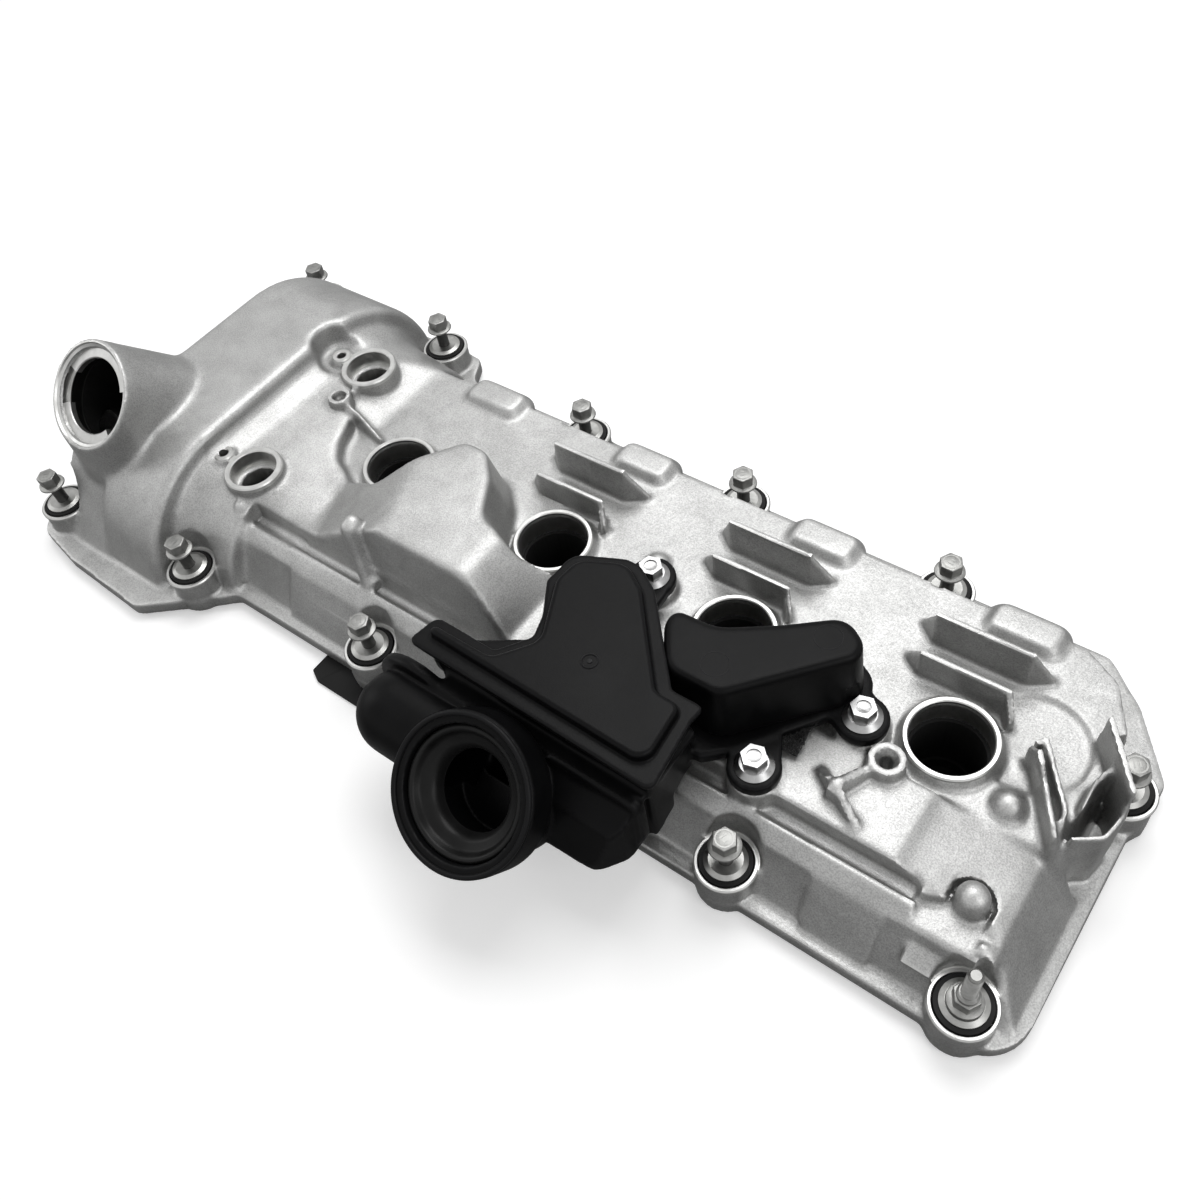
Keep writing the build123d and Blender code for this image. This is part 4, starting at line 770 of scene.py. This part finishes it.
# turned rims: places, inner and outer radius, foot and head
rims = [(wellPlaces, 17.6, 20.2, 48.4, 50.3), (valvePlaces, 12.6, 16.0, 57.0, 59.6),
        (valveScrews, 2.6, 5.6, 59.0, 60.7), (boltPlaces, 11.85, 14.0, 21.6, 23.4)]
rings = []
for places, inner, outer, low, high in rims:
    outline = [(inner, low), (inner, high - 0.5), (inner + 0.5, high), (outer - 0.6, high),
               (outer, high - 0.7), (outer, low)]
    rings += [turnedRing("rim", outline, (*place, 0), upright, 72, "turnedAluminium") for place in places]
joinShaped(cover, lugs + rings)
shaded(cover)
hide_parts("cover_casting")
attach(cover, "cover")
print("casting made:", len(cover.data.polygons), "faces")

# the breather: voxel size in metres, rounds and triangles of each moulding, the rest in millimetres
breatherShape = {"body": (0.0009, 90000), "lid": (0.0006, 45000), "rear": (0.0007, 40000),
                 "bodyRounds": 5, "lipRounds": 3, "elbowRounds": 9, "lidRounds": 4, "rearRounds": 8,
                 "sharpAbove": 50.0, "dotPlace": (186.4, -68.9, 93.0), "rearTop": 88.0,
                 "rearRings": [(228.6, -40.7), (260.7, -5.6)]}
portTilt = math.radians(40.9)
portPlace = Vector((166.9, -137.9, 68.2))
portAxis = Vector((0, -math.sin(portTilt), math.cos(portTilt)))


def bodyRounding(points):
    rate = np.full(len(points), float(breatherShape["bodyRounds"]))
    reach = points - np.array(portPlace)
    along = reach @ np.array(portAxis)
    away = np.linalg.norm(reach - along[:, None] * np.array(portAxis), axis=1)
    rate[(away < 37) & (along > -40)] = breatherShape["lipRounds"]
    rate[points[:, 0] < 136] = breatherShape["elbowRounds"]
    return rate


def moulded(nodeName, name, size, rounds):
    voxel, triangles = size
    piece = looseCopy(nodeName, name)
    softened(piece, voxel, rounds)
    thinned(piece, triangles)
    piece.data.materials.clear()
    piece.data.materials.append(finishes["blackPlastic"])
    shaded(piece, breatherShape["sharpAbove"])
    return piece


def bead(name, profile, place, axis, steps):
    return turnedRing(name, profile, place, axis, steps, "blackPlastic")


body = moulded("breather_body", "breatherBody", breatherShape["body"], bodyRounding)
joinShaped(body, [bead("portRing", roundProfile(33.4, 0.0, 1.3), portPlace, portAxis, 120),
                  bead("portRing", roundProfile(30.2, -1.6, 0.8), portPlace, portAxis, 120)])
shaded(body, breatherShape["sharpAbove"])
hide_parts("breather_body")
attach(body, "cover")

lid = moulded("breather_main_lid", "breatherLid", breatherShape["lid"], breatherShape["lidRounds"])
dotPlace = breatherShape["dotPlace"]
dotOutline = [(0, -0.3), (1.2, -0.3), (1.1, 0.35), (0, 0.5)]
joinShaped(lid, [bead("dotRing", roundProfile(3.4, 0.0, 0.45, 8), dotPlace, upright, 40),
                 lathe("dot", dotOutline, dotPlace, steps=24, finish="blackPlastic")])
shaded(lid, breatherShape["sharpAbove"])
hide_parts("breather_main_lid")
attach(lid, "cover")

rear = moulded("breather_rear_cover", "breatherRear", breatherShape["rear"], breatherShape["rearRounds"])
ringOutline = roundProfile(6.0, breatherShape["rearTop"] - 0.05, 0.18, 6)
joinShaped(rear, [bead("rearRing", ringOutline, (*place, 0), upright, 48)
                  for place in breatherShape["rearRings"]])
shaded(rear, breatherShape["sharpAbove"])
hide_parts("breather_rear_cover")
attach(rear, "cover")

sealProfile = [(28.6, -14.0), (28.6, -3.4), (27.8, -2.6), (26.6, -2.6), (25.6, -3.6), (25.0, -5.6),
               (23.6, -6.8), (21.0, -7.2), (19.2, -8.6), (18.2, -10.6), (17.6, -13.0), (17.6, -14.0)]
seal = turnedRing("portSeal", sealProfile, portPlace, portAxis, 120, "sealRubber")
shaded(seal, 60.0)
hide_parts("breather_port_seal")
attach(seal, "cover")
print("breather made")

# bolts in millimetres, all at the photo's height, with the flange's seat well above its washer
boltShape = {"seat": 38.0, "studSeat": 27.0, "acrossFlats": 10.0, "headHeight": 7.5, "bevel": 0.45,
             "shank": 2.75, "neck": 3.35, "sharpAbove": 28.0, "marksTop": 45.45, "marksTurn": (0.7, 0.9)}
threadShape = {"pitch": 1.0, "tooth": 0.38, "radius": 2.8, "turns": 11, "from": 1.6,
               "studTurns": 17, "studFrom": 38.4}
threads = threadGroup()


def threadOn(x, y, low, turns, finish):
    return grown("thread", threads, {
        "Turns": turns, "Finish": finishes[finish], "Start": (x / 1000, y / 1000, low / 1000),
        "Pitch": (0, 0, threadShape["pitch"] / 1000), "Radius": threadShape["radius"] / 1000,
        "Tooth": threadShape["tooth"] / 1000})


def headMarks(x, y, top, turn, finish):
    # two short raised bars, as marks on a head wear down to
    bars = []
    for shift, length in ((-1.1, 3.4), (1.1, 2.6)):
        corners = []
        for across, along in ((-0.35, -1), (0.35, -1), (0.35, 1), (-0.35, 1)):
            px, py = along * length / 2, shift + across
            corners.append((x + px * math.cos(turn) - py * math.sin(turn),
                            y + px * math.sin(turn) + py * math.cos(turn)))
        bars.append(uprightPrism("mark", corners, top - 0.2, lambda a, b: top + 0.16, finish))
    return bars


def hexBolt(name, x, y, seat, finish):
    # shaped as the CAD bolt is, with a flat-topped head and worn corners
    shank, neck = boltShape["shank"], boltShape["neck"]
    outline = [(0, 0.4), (2.2, 0.4), (shank, 1.2), (shank, 12.4), (neck, 13.0), (neck, seat - 0.3),
               (7.0, seat), (7.3, seat + 0.3), (7.1, seat + 1.0), (5.6, seat + 1.7), (0, seat + 1.7)]
    bolt = lathe(name, outline, (x, y, 0), steps=48, finish=finish)
    reach = boltShape["acrossFlats"] / 2 / math.cos(math.pi / 6)
    turns = [math.pi / 3 * k for k in range(6)]
    corners = [(x + reach * math.cos(turn), y + reach * math.sin(turn)) for turn in turns]
    top = seat + boltShape["headHeight"]
    head = uprightPrism("head", corners, seat + 1.2, lambda a, b: top, finish)
    bevelled(head, boltShape["bevel"], 34.0, 3)
    rim = [(3.3, seat + 7.2), (4.3, seat + 7.2), (4.2, seat + 7.58), (3.5, seat + 7.58)]
    dish = turnedRing("dish", rim, (x, y, 0), upright, 40, finish)
    joinShaped(bolt, [head, dish, threadOn(x, y, threadShape["from"], threadShape["turns"], finish)])
    return bolt


firstTurn, nextTurn = boltShape["marksTurn"]
for i, (x, y) in enumerate(boltPlaces[:11]):
    bolt = hexBolt(f"bolt{i + 1}", x, y, boltShape["seat"], "boltZinc")
    joinShaped(bolt, headMarks(x, y, boltShape["marksTop"], firstTurn + i * nextTurn, "boltZinc"))
    shaded(bolt, boltShape["sharpAbove"])
    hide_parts(f"cover_bolt_{i + 1}")
    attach(bolt, f"bolt_{i + 1}")
x, y = boltPlaces[11]
stud = hexBolt("stud", x, y, boltShape["studSeat"], "studZinc")
spikeOutline = [(0, 30.0), (4.4, 30.0), (4.4, 36.4), (3.6, 37.2), (2.75, 37.4), (2.75, 55.2), (2.0, 56.2),
                (0, 56.2)]
joinShaped(stud, [lathe("spike", spikeOutline, (x, y, 0), steps=48, finish="studZinc"),
                  threadOn(x, y, threadShape["studFrom"], threadShape["studTurns"], "studZinc")])
shaded(stud, boltShape["sharpAbove"])
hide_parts("stud_bolt")
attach(stud, "stud")
for i in range(3):
    screw = looseCopy(f"breather_screw_{i + 1}", f"screw{i + 1}")
    bevelled(screw, 0.25)
    screw.data.materials.clear()
    screw.data.materials.append(finishes["brightZinc"])
    shaded(screw, 20.0)
    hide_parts(f"breather_screw_{i + 1}")
    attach(screw, "cover")
print("bolts dressed")

# the piece of woven mesh under the rear chamber
netShape = {"Width": 0.024, "Depth": 0.019, "Across": 25, "Along": 20, "Wire": 0.00016, "Crumple": 0.007,
            "Scale": 260.0, "Layers": 4, "Lift": (0.0004, -0.0003, 0.0008), "Place": (0.2545, -0.0325, 0.0500)}
net = grown("separatorNet", netGroup(), {**netShape, "Finish": finishes["meshPlastic"]})
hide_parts("separator_mesh")
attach(net, "cover")
print("net made:", len(net.data.polygons), "faces")

# floor, backdrop and light; the floor under the cover, x from and to and y from and to, gets a painted shadow:
# a near-black colour and no lift
studio = {"world": 0.35, "floorSize": 6.0, "floorDepth": -0.0004, "floorColour": (0.75, 0.75, 0.75),
          "paintedShadowFloor": (0.02, 0.02, 0.02), "floorLift": 0.40, "paintedReflectionDimming": 0.4,
          "paintedShadowArea": (-0.150, 0.345, -0.070, 0.078)}
softboxes = {"boxAbove": ((-0.05, 0.55, 1.4), (1.1, 0.8), 14),      # place, size and power
             "boxRight": ((1.4, -0.2, 0.9), (0.6, 1.0), 5),
             "boxLeft": ((-1.2, -0.4, 0.8), (0.5, 1.0), 2.5)}
lampAim = Vector((0.1, 0, 0))


def plainMath(tree, operation, first, second):
    # each of the two is a socket or a number
    node = tree.nodes.new("ShaderNodeMath")
    node.operation = operation
    for socket, given in zip(node.inputs, (first, second)):
        if isinstance(given, float):
            socket.default_value = given
        else:
            tree.links.new(given, socket)
    return node.outputs[0]


def seenStraight(tree):
    # 1 where the camera, a mirror or a glass looks at the sky
    path = tree.nodes.new("ShaderNodeLightPath").outputs
    either = plainMath(tree, "MAXIMUM", path["Is Camera Ray"], path["Is Glossy Ray"])
    return plainMath(tree, "MAXIMUM", either, path["Is Transmission Ray"])


world = bpy.data.worlds.new("studio")
world.use_nodes = True
tree = world.node_tree
plainSky = tree.nodes["Background"]
plainSky.inputs["Color"].default_value = (1, 1, 1, 1)
plainSky.inputs["Strength"].default_value = studio["world"]
whiteSky = tree.nodes.new("ShaderNodeBackground")
whiteSky.inputs["Color"].default_value = (1, 1, 1, 1)
whiteSky.inputs["Strength"].default_value = 1.0
mix = tree.nodes.new("ShaderNodeMixShader")
tree.links.new(seenStraight(tree), mix.inputs["Fac"])
tree.links.new(plainSky.outputs["Background"], mix.inputs[1])
tree.links.new(whiteSky.outputs["Background"], mix.inputs[2])
tree.links.new(mix.outputs["Shader"], tree.nodes["World Output"].inputs["Surface"])
scene.world = world

floorMesh = bpy.data.meshes.new("floor")
half, depth = studio["floorSize"] / 2, studio["floorDepth"]
floorCorners = [(-half, -half, depth), (half, -half, depth), (half, half, depth), (-half, half, depth)]
floorMesh.from_pydata(floorCorners, [], [(0, 1, 2, 3)])
floor = bpy.data.objects.new("floor", floorMesh)
scene.collection.objects.link(floor)
floorFinish = bpy.data.materials.new("floorWhite")
floorFinish.use_nodes = True
tree = floorFinish.node_tree
tree.nodes.remove(tree.nodes["Principled BSDF"])
matt = tree.nodes.new("ShaderNodeBsdfDiffuse")
lift = tree.nodes.new("ShaderNodeEmission")
spot = tree.nodes.new("ShaderNodeTexCoord")
split = tree.nodes.new("ShaderNodeSeparateXYZ")
tree.links.new(spot.outputs["Object"], split.inputs[0])
lowX, highX, lowY, highY = studio["paintedShadowArea"]
# painted shadow: the floor under the cover is near black and gets no lift
inside = None
for axis, bound, test in (("X", lowX, "GREATER_THAN"), ("X", highX, "LESS_THAN"),
                          ("Y", lowY, "GREATER_THAN"), ("Y", highY, "LESS_THAN")):
    side = plainMath(tree, test, split.outputs[axis], bound)
    inside = side if inside is None else times(tree, inside, side)
outside = plainMath(tree, "SUBTRACT", 1.0, inside)
straight = tree.nodes.new("ShaderNodeLightPath")
# painted shade in reflections: mirrors see the floor dimmed to 0.4 of its colour, so the metal's sides come
# out darker
paintedReflectionShade = ramp(tree, straight.outputs["Is Glossy Ray"], 1.0, studio["paintedReflectionDimming"], 0.0, 1.0)
pale = blend(tree, times(tree, outside, paintedReflectionShade), studio["paintedShadowFloor"], studio["floorColour"])
seen = times(tree, outside, straight.outputs["Is Camera Ray"])
level = plainMath(tree, "MULTIPLY", seen, studio["floorLift"])
tree.links.new(pale, matt.inputs["Color"])
tree.links.new(level, lift.inputs["Strength"])
both = tree.nodes.new("ShaderNodeAddShader")
tree.links.new(matt.outputs[0], both.inputs[0])
tree.links.new(lift.outputs[0], both.inputs[1])
tree.links.new(both.outputs[0], tree.nodes["Material Output"].inputs["Surface"])
floor.data.materials.append(floorFinish)

for name, (place, size, power) in softboxes.items():
    lampData = bpy.data.lights.new(name, "AREA")
    lampData.shape = "RECTANGLE"
    lampData.size, lampData.size_y = size
    lampData.energy = power
    lamp = bpy.data.objects.new(name, lampData)
    lamp.location = place
    lamp.rotation_euler = (lampAim - Vector(place)).to_track_quat("-Z", "Y").to_euler()
    scene.collection.objects.link(lamp)
scene.view_settings.view_transform = "Standard"
print("studio ready")
